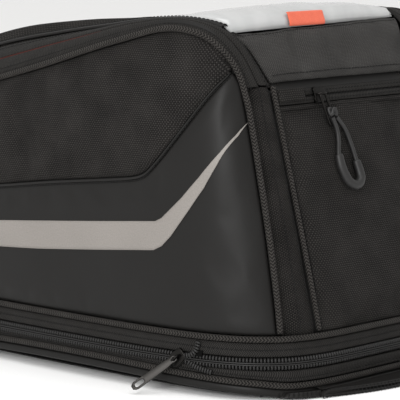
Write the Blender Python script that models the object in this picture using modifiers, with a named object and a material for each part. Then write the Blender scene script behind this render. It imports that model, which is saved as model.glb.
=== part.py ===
"""Motorcycle tank bag: zipped, padded, expandable bag with a map window, a front pocket and a magnet flap.

Frame: origin at the bottom centre of the body, +Z up, the handlebar end faces -Y, +X is the right-hand side
seen by somebody looking along +Y.  Every length is in metres and every angle in radians unless named otherwise.
"""
import math

import bmesh
import bpy
from mathutils import Matrix, Vector

# ---------------------------------------------------------------- driving dimensions
BASE_HALF_WIDTH = 0.1205      # plan outline at the base, before the side bow
BASE_HALF_LENGTH = 0.178
SIDE_BOW = 0.05               # the long sides bow outward by this fraction at mid length
BASE_EXPONENT = 5.0           # superellipse exponent of the plan corners at the base
EXPONENT_RISE = 29.6          # and how much tighter the corners get per metre of height
WALL_FOOT = 0.038             # centre of the welt that the wall panels stand on
FRONT_LEAN = 0.2763           # run per rise of the front panel
REAR_LEAN = 0.05
SIDE_LEAN = 0.0658

GAP = 0.0003                  # clearance between touching pieces
FABRIC = 0.0016               # single coated fabric or webbing
PADDED = 0.0050               # foam-backed wall
WELT_RADIUS = 0.0020          # piping sewn into a seam
RING_STEPS = 44               # points round the plan outline

MAT_TOP = 0.0020              # heights of the layers of the base band
BOARD_TOP = 0.0043
SKIRT_TOP = 0.0062
LOWER_WELT = 0.0085
LOWER_TAPE_TOP = 0.0183
COIL_MIDDLE = 0.0225
COIL_HALF = 0.0038
UPPER_TAPE_TOP = 0.0357

ZIP_GAP = 0.0014              # between the two halves of a closed zip
LID_CROWN = 0.0022            # the lid's middle stands this much above a straight line between its edges
ZIP_BULGE = 0.0045            # the main zip's middle stands this much outside a straight strip
BASE_ARCH = 0.0065            # the underside's long edges arch up this much at mid length
BASE_NARROW = 0.88            # width of the flat underside as a share of the plan outline's
RIM_X = 0.0945                # the side panel's front and rear edges
POCKET_X = 0.069              # the front pocket's side seams
POCKET_TOP = 0.1775           # upper edge of the pocket's face
FLAP_TIP = -0.1975            # front edge of the magnet flap at its middle
FLAP_SWEEP = 0.0295           # the flap's edge runs back this far at FLAP_REACH from its middle
FLAP_REACH = 0.0955
FLAP_HALF_WIDTH = 0.070
FLAP_THICK = 0.0055
FLAP_HINGE_Y = -BASE_HALF_LENGTH - 0.0030
LID_FOLD = (0.0, -0.1345, 0.1892)    # the lid turns here, just above the front pocket's zip
LID_INSET = 0.0042            # the lid panel ends this far inside the edge line
TAPE_START = 0.1912           # the lid's zip tape starts at this height
MAGNET_X = 0.075
MAGNET_Y = 0.115
MAGNET_RADIUS = 0.020
MAGNET_THICK = 0.003

# Side rim: seam between wall and zip, front shoulder to rear centre, left side (x, y, z)
RIM = [
    (-0.0915, -0.133, 0.190), (-0.095, -0.124, 0.207), (-0.102, -0.112, 0.2205), (-0.108, -0.098, 0.2255),
    (-0.112, -0.080, 0.225), (-0.114, -0.052, 0.2183), (-0.115, -0.026, 0.2116), (-0.116, 0.021, 0.1983),
    (-0.116, 0.070, 0.1858), (-0.115, 0.115, 0.1740), (-0.108, 0.146, 0.1665), (-0.092, 0.165, 0.1625),
    (-0.060, 0.1725, 0.1615), (0.0, 0.1725, 0.1610),
]
# Lid edge: seam between zip and lid, matched point for point with the rim
LID_EDGE = [
    (-0.069, -0.1355, 0.190), (-0.0745, -0.1275, 0.206), (-0.081, -0.1195, 0.2195), (-0.0885, -0.1065, 0.2265),
    (-0.094, -0.081, 0.2297), (-0.095, -0.047, 0.2275), (-0.0955, -0.022, 0.224), (-0.096, 0.021, 0.218),
    (-0.097, 0.070, 0.210), (-0.095, 0.115, 0.200), (-0.086, 0.146, 0.193), (-0.066, 0.162, 0.1885),
    (-0.036, 0.168, 0.1865), (0.0, 0.1695, 0.186),
]
# Seam between the woven upper side and the coated lower side, left (x, y, z)
SIDE_SEAM = [
    (-0.097, -0.1285, 0.2015), (-0.105, -0.1215, 0.1917), (-0.110, -0.113, 0.1804), (-0.114, -0.100, 0.1637),
    (-0.116, -0.089, 0.1506), (-0.118, -0.0775, 0.1383), (-0.118, -0.071, 0.134), (-0.119, -0.061, 0.1313),
    (-0.120, -0.035, 0.1282), (-0.1205, 0.0107, 0.123), (-0.1205, 0.0592, 0.1166), (-0.118, 0.105, 0.111),
    (-0.112, 0.140, 0.107), (-0.099, 0.163, 0.105),
]
# Reflective stripe on the coated side: pairs of lower and upper edge points (y, z), pointed tip first
STRIPE = [
    ((-0.1378, 0.1690), (-0.1380, 0.1697)), ((-0.1359, 0.1615), (-0.1347, 0.1618)),
    ((-0.1310, 0.1518), (-0.1283, 0.1515)), ((-0.1267, 0.1419), (-0.1235, 0.1446)),
    ((-0.1205, 0.1300), (-0.1166, 0.1355)), ((-0.1107, 0.1150), (-0.1050, 0.1222)),
    ((-0.0980, 0.0978), (-0.0950, 0.1128)), ((-0.0912, 0.0909), (-0.0901, 0.1083)),
    ((-0.0849, 0.0878), (-0.0854, 0.1060)), ((-0.0289, 0.0824), (-0.0367, 0.1015)),
    ((0.0175, 0.0782), (0.0091, 0.0974)), ((0.0568, 0.0757), (0.0579, 0.0930)),
    ((0.1100, 0.0730), (0.1100, 0.0890)), ((0.1400, 0.0715), (0.1400, 0.0870)),
]
SEAM_GAP = 0.0018             # height between the lower and the upper side panel
SEAM_START = 0.5              # the lower side panel starts this far along the seam's first stretch
WINDOW_START = 2.7            # stations of LID_EDGE where the map window's binding begins and ends
WINDOW_END = 9.4
LID_END = 10.6                # last station where the lid still runs straight from side to side

# Panels
STATION = 5                   # curve points per station of RIM and LID_EDGE
WELT_CLEAR = WELT_RADIUS + 0.0009
PANEL_FOOT = WALL_FOOT + WELT_RADIUS + GAP

# Zip sliders and their pulls
PIN_RADIUS = 0.0007
PIN_HEIGHT = 0.0048           # hinge pin above the tape
EYE_RADIUS = 0.0021
BODY_THICK = 0.0018
BODY_UNDER_PIN = 0.0024       # the slider's plate stays this far below the pin's axis
LOOP_WIRE = 0.0007
LOOP_HALF_WIDTH = 0.0026
LOOP_LENGTH = 0.0210
CORD_RADIUS = 0.0015
KNOT_REACH = 0.0130           # along the wire loop
KNOT_RADIUS = 0.0018
STRAND_DROP = 0.0036          # from the knot's middle to the start of the two cord strands
REAR_SLIDER_X = 0.0160
GRIP_RADIUS = 0.0030
# Cord strands and the soft grip, as they hang in front of the pocket (x, y, z)
LEFT_STRAND = [(-0.0232, -0.1508, 0.160), (-0.0238, -0.1525, 0.153), (-0.0262, -0.1545, 0.1462)]
RIGHT_STRAND = [(-0.0150, -0.1505, 0.160), (-0.0122, -0.1535, 0.150), (-0.0110, -0.1560, 0.1412)]
GRIP = [(-0.0264, -0.1548, 0.1456), (-0.0262, -0.1575, 0.1370), (-0.0225, -0.1600, 0.1285),
        (-0.0160, -0.1612, 0.1258), (-0.0105, -0.1600, 0.1300), (-0.0108, -0.1563, 0.1406)]

# Strap rings and carrying handle on the rear panel
RING_WIRE = 0.0015
RING_X = 0.062
RING_Z = 0.066
RING_OFF_WALL = 0.0044
TAB_WIDTH = 0.022
HANDLE_HALF = 0.062
HANDLE_Z = 0.128
HANDLE_BOW = 0.024


# ---------------------------------------------------------------- scene and materials
def clear_scene():
    for old in list(bpy.data.objects):
        bpy.data.objects.remove(old, do_unlink=True)


def new_collection(name):
    collection = bpy.data.collections.new(name)
    bpy.context.scene.collection.children.link(collection)
    return collection


def finish_material(name, colour, roughness, metallic=0.0, alpha=1.0):
    material = bpy.data.materials.new(name)
    material.use_nodes = True
    shader = material.node_tree.nodes["Principled BSDF"]
    shader.inputs["Base Color"].default_value = (*colour, 1.0)
    shader.inputs["Roughness"].default_value = roughness
    shader.inputs["Metallic"].default_value = metallic
    shader.inputs["Alpha"].default_value = alpha
    return material


clear_scene()
PARTS = new_collection("tank_bag")
CUTTERS = new_collection("cutters")
FINISHES = {
    "woven_nylon": ((0.026, 0.025, 0.023), 0.80, 0.0),
    "coated_fabric": ((0.030, 0.029, 0.028), 0.55, 0.0),
    "shoulder_fabric": ((0.060, 0.058, 0.056), 0.70, 0.0),
    "reflective_tape": ((0.400, 0.360, 0.330), 0.45, 0.0),
    "welt_fabric": ((0.033, 0.031, 0.028), 0.75, 0.0),
    "zip_coil": ((0.040, 0.039, 0.037), 0.40, 0.0),
    "webbing": ((0.022, 0.021, 0.020), 0.80, 0.0),
    "moulded_rubber": ((0.028, 0.028, 0.028), 0.60, 0.0),
    "dark_metal": ((0.160, 0.155, 0.150), 0.30, 1.0),
    "magnet_steel": ((0.350, 0.350, 0.350), 0.35, 1.0),
    "board": ((0.020, 0.020, 0.020), 0.60, 0.0),
    "label_fabric": ((0.640, 0.120, 0.060), 0.70, 0.0),
}
MATERIALS = {name: finish_material(name, *values) for name, values in FINISHES.items()}
MATERIALS["clear_vinyl"] = finish_material("clear_vinyl", (0.80, 0.82, 0.82), 0.10, 0.0, 0.35)


def add_object(name, data, finish, collection=PARTS):
    made = bpy.data.objects.new(name, data)
    collection.objects.link(made)
    made.data.materials.append(MATERIALS[finish])
    return made


# ---------------------------------------------------------------- the bag's wall
def wall_size(z):
    """Half width, half length, centre y and corner exponent of the plan outline at height z."""
    rise = max(0.0, z - WALL_FOOT)
    front = -BASE_HALF_LENGTH + FRONT_LEAN * rise
    rear = BASE_HALF_LENGTH - REAR_LEAN * rise
    return (BASE_HALF_WIDTH - SIDE_LEAN * rise, (rear - front) / 2, (rear + front) / 2,
            BASE_EXPONENT + EXPONENT_RISE * rise)


def wall_level(point):
    """1 on the wall, less inside it, more outside."""
    half_width, half_length, centre, exponent = wall_size(point.z)
    along = (point.y - centre) / half_length
    bowed = half_width * (1 + SIDE_BOW * (1 - min(1.0, along * along)))
    return (abs(point.x / bowed) ** exponent + abs(along) ** exponent) ** (1 / exponent)


def wall_normal(point):
    step = 1e-4
    slope = [wall_level(point + Vector(axis) * step) - wall_level(point - Vector(axis) * step)
             for axis in ((1, 0, 0), (0, 1, 0), (0, 0, 1))]
    return Vector(slope).normalized()


def on_wall(point, proud=0.0):
    """The point moved level onto the wall, and then out along the wall's normal by proud."""
    point = Vector(point)
    centre = wall_size(point.z)[2]
    for _ in range(4):
        scale = 1 / wall_level(point)
        point.x *= scale
        point.y = centre + (point.y - centre) * scale
    return point + wall_normal(point) * proud if proud else point


def outline(z, proud=0.0, steps=RING_STEPS):
    """The plan outline at height z, counter-clockwise, with its points spread evenly."""
    fine = 720
    half_width, half_length, centre, exponent = wall_size(z)
    dense = []
    for index in range(fine):
        angle = 2 * math.pi * index / fine
        x = half_width * math.copysign(abs(math.cos(angle)) ** (2 / exponent), math.cos(angle))
        y = centre + half_length * math.copysign(abs(math.sin(angle)) ** (2 / exponent), math.sin(angle))
        dense.append(on_wall((x, y, z)))
    even = resample(dense + dense[:1], steps + 1)[:-1]
    return [on_wall(point, proud) for point in even] if proud else even


# ---------------------------------------------------------------- curves
def smooth(points, spans=8):
    """A smooth curve through the points, with this many steps between neighbours."""
    points = [Vector(point) for point in points]
    padded = [2 * points[0] - points[1]] + points + [2 * points[-1] - points[-2]]
    curve = []
    for index in range(len(points) - 1):
        before, start, end, after = padded[index:index + 4]
        for step in range(spans):
            t = step / spans
            curve.append(0.5 * (2 * start + (end - before) * t
                                + (2 * before - 5 * start + 4 * end - after) * t * t
                                + (3 * start - before - 3 * end + after) * t ** 3))
    return curve + [points[-1]]


def resample(points, count):
    """The same polyline with count evenly spaced points."""
    lengths = [0.0]
    for before, after in zip(points, points[1:]):
        lengths.append(lengths[-1] + (after - before).length)
    result = []
    segment = 0
    for index in range(count):
        target = lengths[-1] * index / (count - 1)
        while segment < len(points) - 2 and lengths[segment + 1] < target:
            segment += 1
        span = lengths[segment + 1] - lengths[segment]
        part = (target - lengths[segment]) / span if span else 0.0
        result.append(points[segment].lerp(points[segment + 1], min(1.0, part)))
    return result


def mirrored(points):
    return [Vector((-point.x, point.y, point.z)) for point in points]


def between(edge_a, edge_b, share):
    return [a.lerp(b, share) for a, b in zip(edge_a, edge_b)]


def between_points(start, end, count):
    return [start.lerp(end, index / (count - 1)) for index in range(count)]


def shifted(edge, towards, distance):
    """The edge moved by distance towards the matching points of another edge."""
    return [a + (b - a).normalized() * distance for a, b in zip(edge, towards)]


# ---------------------------------------------------------------- solids
def mesh_object(name, verts, faces, finish, smooth_shading=True):
    mesh = bpy.data.meshes.new(name)
    mesh.from_pydata([tuple(vert) for vert in verts], [], faces)
    work = bmesh.new()
    work.from_mesh(mesh)
    bmesh.ops.recalc_face_normals(work, faces=work.faces)
    work.to_mesh(mesh)
    work.free()
    if smooth_shading:
        mesh.shade_smooth()
        mesh.set_sharp_from_angle(angle=math.radians(40))
    return add_object(name, mesh, finish)


def loft(name, sections, finish, closed=False):
    """A solid through matching closed sections; a closed loft joins its last section to its first."""
    count = len(sections)
    size = len(sections[0])
    verts = [point for section in sections for point in section]
    faces = []
    for index in range(count if closed else count - 1):
        following = (index + 1) % count
        for corner in range(size):
            beside = (corner + 1) % size
            faces.append((index * size + corner, index * size + beside,
                          following * size + beside, following * size + corner))
    if not closed:
        faces.append(tuple(range(size)))
        faces.append(tuple((count - 1) * size + corner for corner in range(size)))
    return mesh_object(name, verts, faces, finish)


def sheet(name, rows, thickness, finish):
    """A solid skin: an open surface through rows of points, thickened inward by Solidify."""
    columns = len(rows[0])
    verts = [point for row in rows for point in row]
    faces = [(row * columns + column, row * columns + column + 1,
              (row + 1) * columns + column + 1, (row + 1) * columns + column)
             for row in range(len(rows) - 1) for column in range(columns - 1)]
    made = mesh_object(name, verts, faces, finish)
    face_out(made.data)
    solidify = made.modifiers.new("thickness", "SOLIDIFY")
    solidify.thickness = thickness
    solidify.offset = -1
    return made


def face_out(mesh):
    """Turns an open surface so that its faces look away from the inside of the bag."""
    inside = Vector((0, 0, 0.09))
    outward = sum(face.area * face.normal.dot(face.center - inside) for face in mesh.polygons)
    if outward < 0:
        mesh.flip_normals()


def tube(name, points, radius, finish, cyclic=False, sides_setting=1):
    curve = bpy.data.curves.new(name, "CURVE")
    curve.dimensions = "3D"
    curve.bevel_depth = radius
    curve.bevel_resolution = sides_setting
    curve.use_fill_caps = True
    spline = curve.splines.new("POLY")
    spline.points.add(len(points) - 1)
    for node, point in zip(spline.points, points):
        node.co = (*point, 1)
    spline.use_cyclic_u = cyclic
    return add_object(name, curve, finish)


def plate(name, loops, thickness, finish, place=None):
    """A flat outline with holes, extruded; it lies in its own XY plane, middle at z = 0."""
    curve = bpy.data.curves.new(name, "CURVE")
    curve.dimensions = "2D"
    curve.fill_mode = "BOTH"
    curve.extrude = thickness / 2
    for loop in loops:
        spline = curve.splines.new("POLY")
        spline.points.add(len(loop) - 1)
        for node, point in zip(spline.points, loop):
            node.co = (point[0], point[1], 0, 1)
        spline.use_cyclic_u = True
    made = add_object(name, curve, finish)
    if place:
        made.matrix_world = place
    return made


def arched(ring):
    """The points raised where the underside's long edges arch up."""
    raised = []
    for point in ring:
        along = (point.y + 0.010) / 0.180
        lift = BASE_ARCH * max(0.0, 1 - along * along) * ramp(abs(point.x), 0.085, 0.108)
        raised.append(point + Vector((0, 0, lift)))
    return raised


def band(name, low, high, inner, outer, finish, arches=()):
    """A ring wall that follows the plan outline between two heights and two offsets from the wall.

    The edges named in arches ("low", "high") follow the arch of the underside.
    """
    corners = [outline(low, inner), outline(low, outer), outline(high, outer), outline(high, inner)]
    for edge, indices in (("low", (0, 1)), ("high", (2, 3))):
        if edge in arches:
            for index in indices:
                corners[index] = arched(corners[index])
    return loft(name, list(zip(*corners)), finish, closed=True)


def as_mesh(made):
    """The evaluated mesh of a curve object as a plain mesh object, its caps welded."""
    graph = bpy.context.evaluated_depsgraph_get()
    mesh = bpy.data.meshes.new_from_object(made.evaluated_get(graph))
    work = bmesh.new()
    work.from_mesh(mesh)
    bmesh.ops.remove_doubles(work, verts=work.verts, dist=1e-6)
    bmesh.ops.recalc_face_normals(work, faces=work.faces)
    work.to_mesh(mesh)
    work.free()
    name = made.name
    collection = made.users_collection[0]
    place = made.matrix_world.copy()
    bpy.data.objects.remove(made, do_unlink=True)
    solid = bpy.data.objects.new(name, mesh)
    collection.objects.link(solid)
    solid.matrix_world = place
    return solid


def join_solid(made, other):
    """Unites another piece into this one and keeps it as a hidden cutter."""
    for collection in list(other.users_collection):
        collection.objects.unlink(other)
    CUTTERS.objects.link(other)
    other.hide_render = True
    other.display_type = "WIRE"
    union = made.modifiers.new("join_" + other.name, "BOOLEAN")
    union.operation = "UNION"
    union.object = other
    return made


def block(name, size, place, finish, edge=0.0, middle=(0, 0, 0)):
    mesh = bpy.data.meshes.new(name)
    work = bmesh.new()
    bmesh.ops.create_cube(work, size=1.0)
    bmesh.ops.scale(work, vec=size, verts=work.verts)
    bmesh.ops.translate(work, vec=middle, verts=work.verts)
    work.to_mesh(mesh)
    work.free()
    made = add_object(name, mesh, finish)
    made.matrix_world = place
    if edge:
        bevel = made.modifiers.new("edges", "BEVEL")
        bevel.width = edge
        bevel.segments = 1
    return made


def rounded(half_x, half_y, radius, middle=(0.0, 0.0), steps=3):
    """A rounded rectangle as a list of 2D points, counter-clockwise."""
    points = []
    for quarter, (sign_x, sign_y) in enumerate(((1, 1), (-1, 1), (-1, -1), (1, -1))):
        for step in range(steps + 1):
            angle = math.pi / 2 * (quarter + step / steps)
            points.append((middle[0] + sign_x * (half_x - radius) + radius * math.cos(angle),
                           middle[1] + sign_y * (half_y - radius) + radius * math.sin(angle)))
    return points


def circle(radius, steps=12, middle=(0.0, 0.0)):
    return [(middle[0] + radius * math.cos(2 * math.pi * step / steps),
             middle[1] + radius * math.sin(2 * math.pi * step / steps)) for step in range(steps)]


def place_at(origin, x_axis, y_axis):
    """A frame at origin whose X and Y axes point along the given perpendicular directions."""
    x_axis = Vector(x_axis).normalized()
    z_axis = x_axis.cross(Vector(y_axis)).normalized()
    y_axis = z_axis.cross(x_axis)
    turn = Matrix((x_axis, y_axis, z_axis)).transposed().to_4x4()
    return Matrix.Translation(Vector(origin)) @ turn


# ---------------------------------------------------------------- rails on the wall


def wall_point(x, z, end=-1):
    """The point of the wall with this x and height, at the front (end -1) or the rear (end +1)."""
    half_width, half_length, centre, exponent = wall_size(z)
    share = (1 - min(1.0, abs(x / half_width) ** exponent)) ** (1 / exponent)
    return on_wall((x, centre + end * half_length * share, z))


def wall_line(x_low, x_high, z_low, z_high, end=-1, steps=8, proud=0.0):
    """A line up the wall's front or rear between two heights."""
    return [on_wall(wall_point(x_low + (x_high - x_low) * step / (steps - 1),
                               z_low + (z_high - z_low) * step / (steps - 1), end), proud)
            for step in range(steps)]


def wall_side(x_end, z, count, proud=0.0):
    """The left side's outline at height z, front to rear, between the corner points where x is x_end."""
    ring = [point for point in outline(z, 0.0, 360) if point.x < -x_end]
    return [on_wall(point, proud) for point in resample(sorted(ring, key=lambda point: point.y), count)]


def side_point(y, z):
    """The point of the left wall with this y and height."""
    half_width, half_length, centre, exponent = wall_size(z)
    along = abs(y - centre) / half_length
    bowed = half_width * (1 + SIDE_BOW * (1 - along * along))
    return Vector((-bowed * (1 - along ** exponent) ** (1 / exponent), y, z))


def beside(point, distance):
    """The point moved level along the wall, away from the front on the left-hand side."""
    normal = wall_normal(point)
    return on_wall(point + Vector((normal.y, -normal.x, 0)).normalized() * distance)


def patch(low, high, first, last):
    """Rows of wall points that fill the area between four edges (a Coons patch)."""
    rows = []
    for row, (start, end) in enumerate(zip(first, last)):
        v = row / (len(first) - 1)
        line = []
        for column, (bottom, top) in enumerate(zip(low, high)):
            u = column / (len(low) - 1)
            corners = ((low[0].lerp(low[-1], u)).lerp(high[0].lerp(high[-1], u), v))
            line.append(on_wall(bottom.lerp(top, v) + start.lerp(end, u) - corners))
        rows.append(line)
    return rows


def wall_rows(edge_low, edge_high, rows, proud=0.0):
    """Rows of points on the wall between two lines on it."""
    return [[on_wall(point, proud) for point in between(edge_low, edge_high, row / (rows - 1))]
            for row in range(rows)]


SIDE_RIM = [on_wall(point) for point in smooth(RIM, STATION)]
SIDE_LID_EDGE = smooth(LID_EDGE, STATION)
SEAM_LINE = [on_wall(point) for point in smooth(SIDE_SEAM, 3)]


def each_side():
    return (("left", lambda rows: rows), ("right", lambda rows: [mirrored(row) for row in rows]))


# ---------------------------------------------------------------- walls of the main bag
def build_upper_band():
    band("expansion_coil_upper", COIL_MIDDLE + GAP / 2, COIL_MIDDLE + COIL_HALF, -0.0022, 0.0004, "zip_coil")
    band("expansion_tape_upper", COIL_MIDDLE + COIL_HALF + GAP, UPPER_TAPE_TOP, -0.0018, -0.0002, "coated_fabric")
    tube("body_welt", outline(WALL_FOOT, 0.0005), WELT_RADIUS, "welt_fabric", cyclic=True)


def build_sides():
    """Each side: a coated lower panel, a woven upper panel and a reflective stripe."""
    count = 17
    rows = 7
    seam = resample(SEAM_LINE, count)
    lower_top = [on_wall(seam[0].lerp(seam[1], SEAM_START))] + seam[1:]
    foot = wall_side(RIM_X + WELT_CLEAR, PANEL_FOOT, count)
    rim_low = [beside(point, WELT_CLEAR) for point in wall_line(-RIM_X, -0.0915, PANEL_FOOT, 0.186)]
    front_edge = resample([foot[0]] + rim_low[1:] + [lower_top[0]], rows)
    rear_edge = [on_wall(point) for point in between_points(foot[-1], lower_top[-1], rows)]
    lower = patch(foot, lower_top, front_edge, rear_edge)
    rim = [point for point in SIDE_RIM if -0.122 < point.y < 0.166 and point.x < -RIM_X + 0.002]
    seam_raised = [on_wall(point + Vector((0, 0, SEAM_GAP))) for point in seam[1:]]
    rim_line = shifted(resample(rim, count - 1), seam_raised, WELT_CLEAR)
    upper = wall_rows(seam_raised, rim_line, 5)
    stripe = [[on_wall(side_point(*pair[row]), 0.0016) for pair in STRIPE] for row in (0, 1)]
    for side, flip in each_side():
        sheet("side_lower_" + side, flip(lower), PADDED, "coated_fabric")
        sheet("side_upper_" + side, flip(upper), PADDED, "woven_nylon")
        sheet("side_stripe_" + side, flip(stripe), 0.0005, "reflective_tape")


def build_front():
    band_rows = list(zip(wall_line(-RIM_X + WELT_CLEAR, -0.0915 + WELT_CLEAR, PANEL_FOOT, 0.186),
                         wall_line(-0.081, -0.080, PANEL_FOOT, 0.186),
                         wall_line(-POCKET_X - 0.0023, -POCKET_X - 0.0023, PANEL_FOOT, 0.186)))
    welt = wall_line(-POCKET_X, -POCKET_X, PANEL_FOOT + WELT_RADIUS, 0.1870, steps=12, proud=0.0004)
    for side, flip in each_side():
        sheet("corner_band_" + side, flip(band_rows), PADDED, "woven_nylon")
        tube("pocket_welt_" + side, flip([welt])[0], 0.0017, "welt_fabric")
    back = [mirror_row(row) for row in wall_line(-0.062, -0.062, PANEL_FOOT, 0.187, proud=-0.0052)]
    sheet("front_wall", back, PADDED, "woven_nylon")
    face = [mirror_row(row) for row in wall_line(-0.0665, -0.0665, PANEL_FOOT, POCKET_TOP)]
    sheet("front_pocket", face, FABRIC, "woven_nylon")
    for name, low, high in (("pocket_zip_lower", POCKET_TOP + GAP, 0.1821), ("pocket_zip_upper", 0.1827, 0.1870)):
        tape = [mirror_row(row) for row in wall_line(-0.0665, -0.0665, low, high, steps=3)]
        sheet(name, tape, FABRIC, "coated_fabric")
    coil = [on_wall(point, -0.0031) for point in mirror_row(wall_point(-0.060, 0.1824))]
    tube("pocket_coil", coil, 0.0012, "zip_coil")
    garage = list(zip(wall_line(-0.0665, -0.0665, 0.1795, 0.1868, steps=3, proud=0.0018),
                      wall_line(-0.0405, -0.0405, 0.1795, 0.1868, steps=3, proud=0.0018)))
    sheet("zip_garage", garage, 0.0010, "webbing")


def mirror_row(point, columns=9):
    """A level row of wall points from a left-hand point to its mirror image."""
    inside = wall_level(point)
    row = []
    for column in range(columns):
        x = point.x * (1 - 2 * column / (columns - 1))
        end = -1 if point.y < 0 else 1
        flat = wall_point(x, point.z, end)
        flat.x *= inside
        flat.y = wall_size(point.z)[2] + (flat.y - wall_size(point.z)[2]) * inside
        row.append(flat)
    return row


def build_rear():
    edge = wall_line(-RIM_X + WELT_CLEAR, -0.0905, PANEL_FOOT, 0.1580, end=1, steps=7)
    sheet("rear_panel", [mirror_row(point) for point in edge], PADDED, "woven_nylon")


def whole_way(left_curve):
    """A left-hand curve that ends at the rear centre, carried on round the right-hand side."""
    return left_curve + mirrored(left_curve)[-2::-1]


def build_rim():
    low = wall_line(-RIM_X, -0.0915, PANEL_FOOT + WELT_RADIUS, 0.1760, steps=9, proud=0.0004)
    left = low + [on_wall(point, 0.0004) for point in SIDE_RIM]
    tube("rim_welt", resample(whole_way(left), 86), WELT_RADIUS, "welt_fabric")


# ---------------------------------------------------------------- main zip
def inward(line_a, line_b, distance):
    """Points of line_a moved into the bag, square to the strip between two lines."""
    moved = []
    for index, point in enumerate(line_a):
        ahead = line_a[min(index + 1, len(line_a) - 1)] - line_a[max(index - 1, 0)]
        normal = ahead.cross(line_b[index] - point).normalized()
        if normal.dot(point - Vector((0, 0.02, 0.09))) > 0:
            normal = -normal
        moved.append(point + normal * distance)
    return moved


def bulged(line_a, line_b, share):
    """The line moved out of the bag by a share of the zip's bulge, which fades out at the fold and the rear."""
    moved = inward(line_a, line_b, -1.0)
    places = []
    for point, direction in zip(line_a, moved):
        height = ZIP_BULGE * share * ramp(point.y, -0.134, -0.095) * (1 - ramp(point.y, 0.06, 0.16))
        places.append(point + (direction - point) * height)
    return places


def build_main_zip():
    count = 47
    rim = resample(whole_way(SIDE_RIM), count)
    edge = resample(whole_way(SIDE_LID_EDGE), count)
    middle = bulged(between(rim, edge, 0.5), edge, 1.0)
    rim_side = shifted(rim, edge, WELT_CLEAR)
    middle_low = shifted(middle, rim, ZIP_GAP / 2)
    middle_high = shifted(middle, edge, ZIP_GAP / 2)
    low = [rim_side, bulged(between(rim_side, middle_low, 0.5), edge, 0.25), middle_low]
    sheet("main_zip_tape", low, FABRIC, "coated_fabric")
    edge_side = shifted(edge, middle, 0.0006)
    high = [middle_high, bulged(between(middle_high, edge_side, 0.5), rim, 0.25), edge_side]
    sheet("lid_zip_tape", [lift_start(row) for row in high], FABRIC, "coated_fabric")
    for name, towards in (("main_coil", rim), ("lid_coil", edge)):
        line = shifted(middle, towards, 0.0037)
        tube(name, inward(line, towards, FABRIC + 0.0016)[2:-2], 0.0011, "zip_coil")


def lift_start(row):
    """The strip's two front ends kept above the fold, so that the lid turns clear of the wall."""
    lifted = []
    for point in row:
        lift = max(0.0, TAPE_START - point.z) if point.y < LID_FOLD[1] / 2 else 0.0
        lifted.append(point + Vector((0, 0, lift)))
    return lifted


# ---------------------------------------------------------------- lid
def lid_rows(first, last, rows, inset, proud, columns=13, puff=0.0):
    """Rows across the lid between two stations, inset from its edges, bulged up and set proud."""
    made = []
    for row in range(rows):
        station = first + (last - first) * row / (rows - 1)
        place = station * STATION
        index = min(int(place), len(SIDE_LID_EDGE) - 2)
        left = SIDE_LID_EDGE[index].lerp(SIDE_LID_EDGE[index + 1], place - index)
        ahead = SIDE_LID_EDGE[index + 1] - SIDE_LID_EDGE[index]
        normal = Vector((0, -ahead.z, ahead.y)).normalized()
        bulge = LID_CROWN * ramp(station, 2.4, 3.6) * (1 - 1.8 * ramp(station, 8.5, LID_END))
        rear_bow = 0.0105 * ramp(station, 8.5, LID_END)
        along = row / (rows - 1)
        line = []
        for column in range(columns):
            x = (left.x + inset) * (1 - 2 * column / (columns - 1))
            dome = 1 - (x / left.x) ** 2
            point = Vector((x, left.y + rear_bow * dome, left.z))
            line.append(point + normal * (bulge * dome + proud + puff * dome * 4 * along * (1 - along)))
        made.append(line)
    return made


def ramp(value, low, high):
    """0 below low, 1 above high, and a smooth step between."""
    share = min(1.0, max(0.0, (value - low) / (high - low)))
    return share * share * (3 - 2 * share)


def build_lid():
    sheet("shoulder_panel", lid_rows(0.12, WINDOW_START - 0.12, 8, 0.0020, 0.0, columns=9), PADDED, "shoulder_fabric")
    sheet("lid_panel", lid_rows(WINDOW_START, LID_END, 14, LID_INSET, 0.0, columns=11), PADDED, "woven_nylon")
    window = lid_rows(WINDOW_START + 0.30, WINDOW_END - 0.24, 10, 0.0074, 0.0018, columns=9, puff=0.0020)
    sheet("map_window", window, 0.0006, "clear_vinyl")
    build_binding()
    build_label()


def build_label():
    """A folded tag sewn into the seam at the window's front edge, standing up against the vinyl."""
    low = [Vector((x, -0.1135, 0.2268)) for x in (-0.0295, -0.0120, 0.0060)]
    high = [point + Vector((0, 0.0026, 0.0080)) for point in low]
    sheet("label_tag", [low, high], 0.0010, "label_fabric")


def ring_of(rows):
    """The border points of a grid of points, in order."""
    right = [row[-1] for row in rows[1:]]
    left = [row[0] for row in rows[-2:0:-1]]
    return rows[0] + right + rows[-1][-2::-1] + left


def build_binding():
    """The sewn frame round the map window, a closed strip lying on the lid."""
    rings = []
    for proud in (0.0012, 0.0026):
        rings.append(ring_of(lid_rows(WINDOW_START + 0.05, WINDOW_END, 14, 0.0030, proud)))
        rings.append(ring_of(lid_rows(WINDOW_START + 0.24, WINDOW_END - 0.18, 14, 0.0066, proud)))
    outer, inner, outer_top, inner_top = rings
    loft("window_binding", list(zip(inner, outer, outer_top, inner_top)), "coated_fabric", closed=True)


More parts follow.
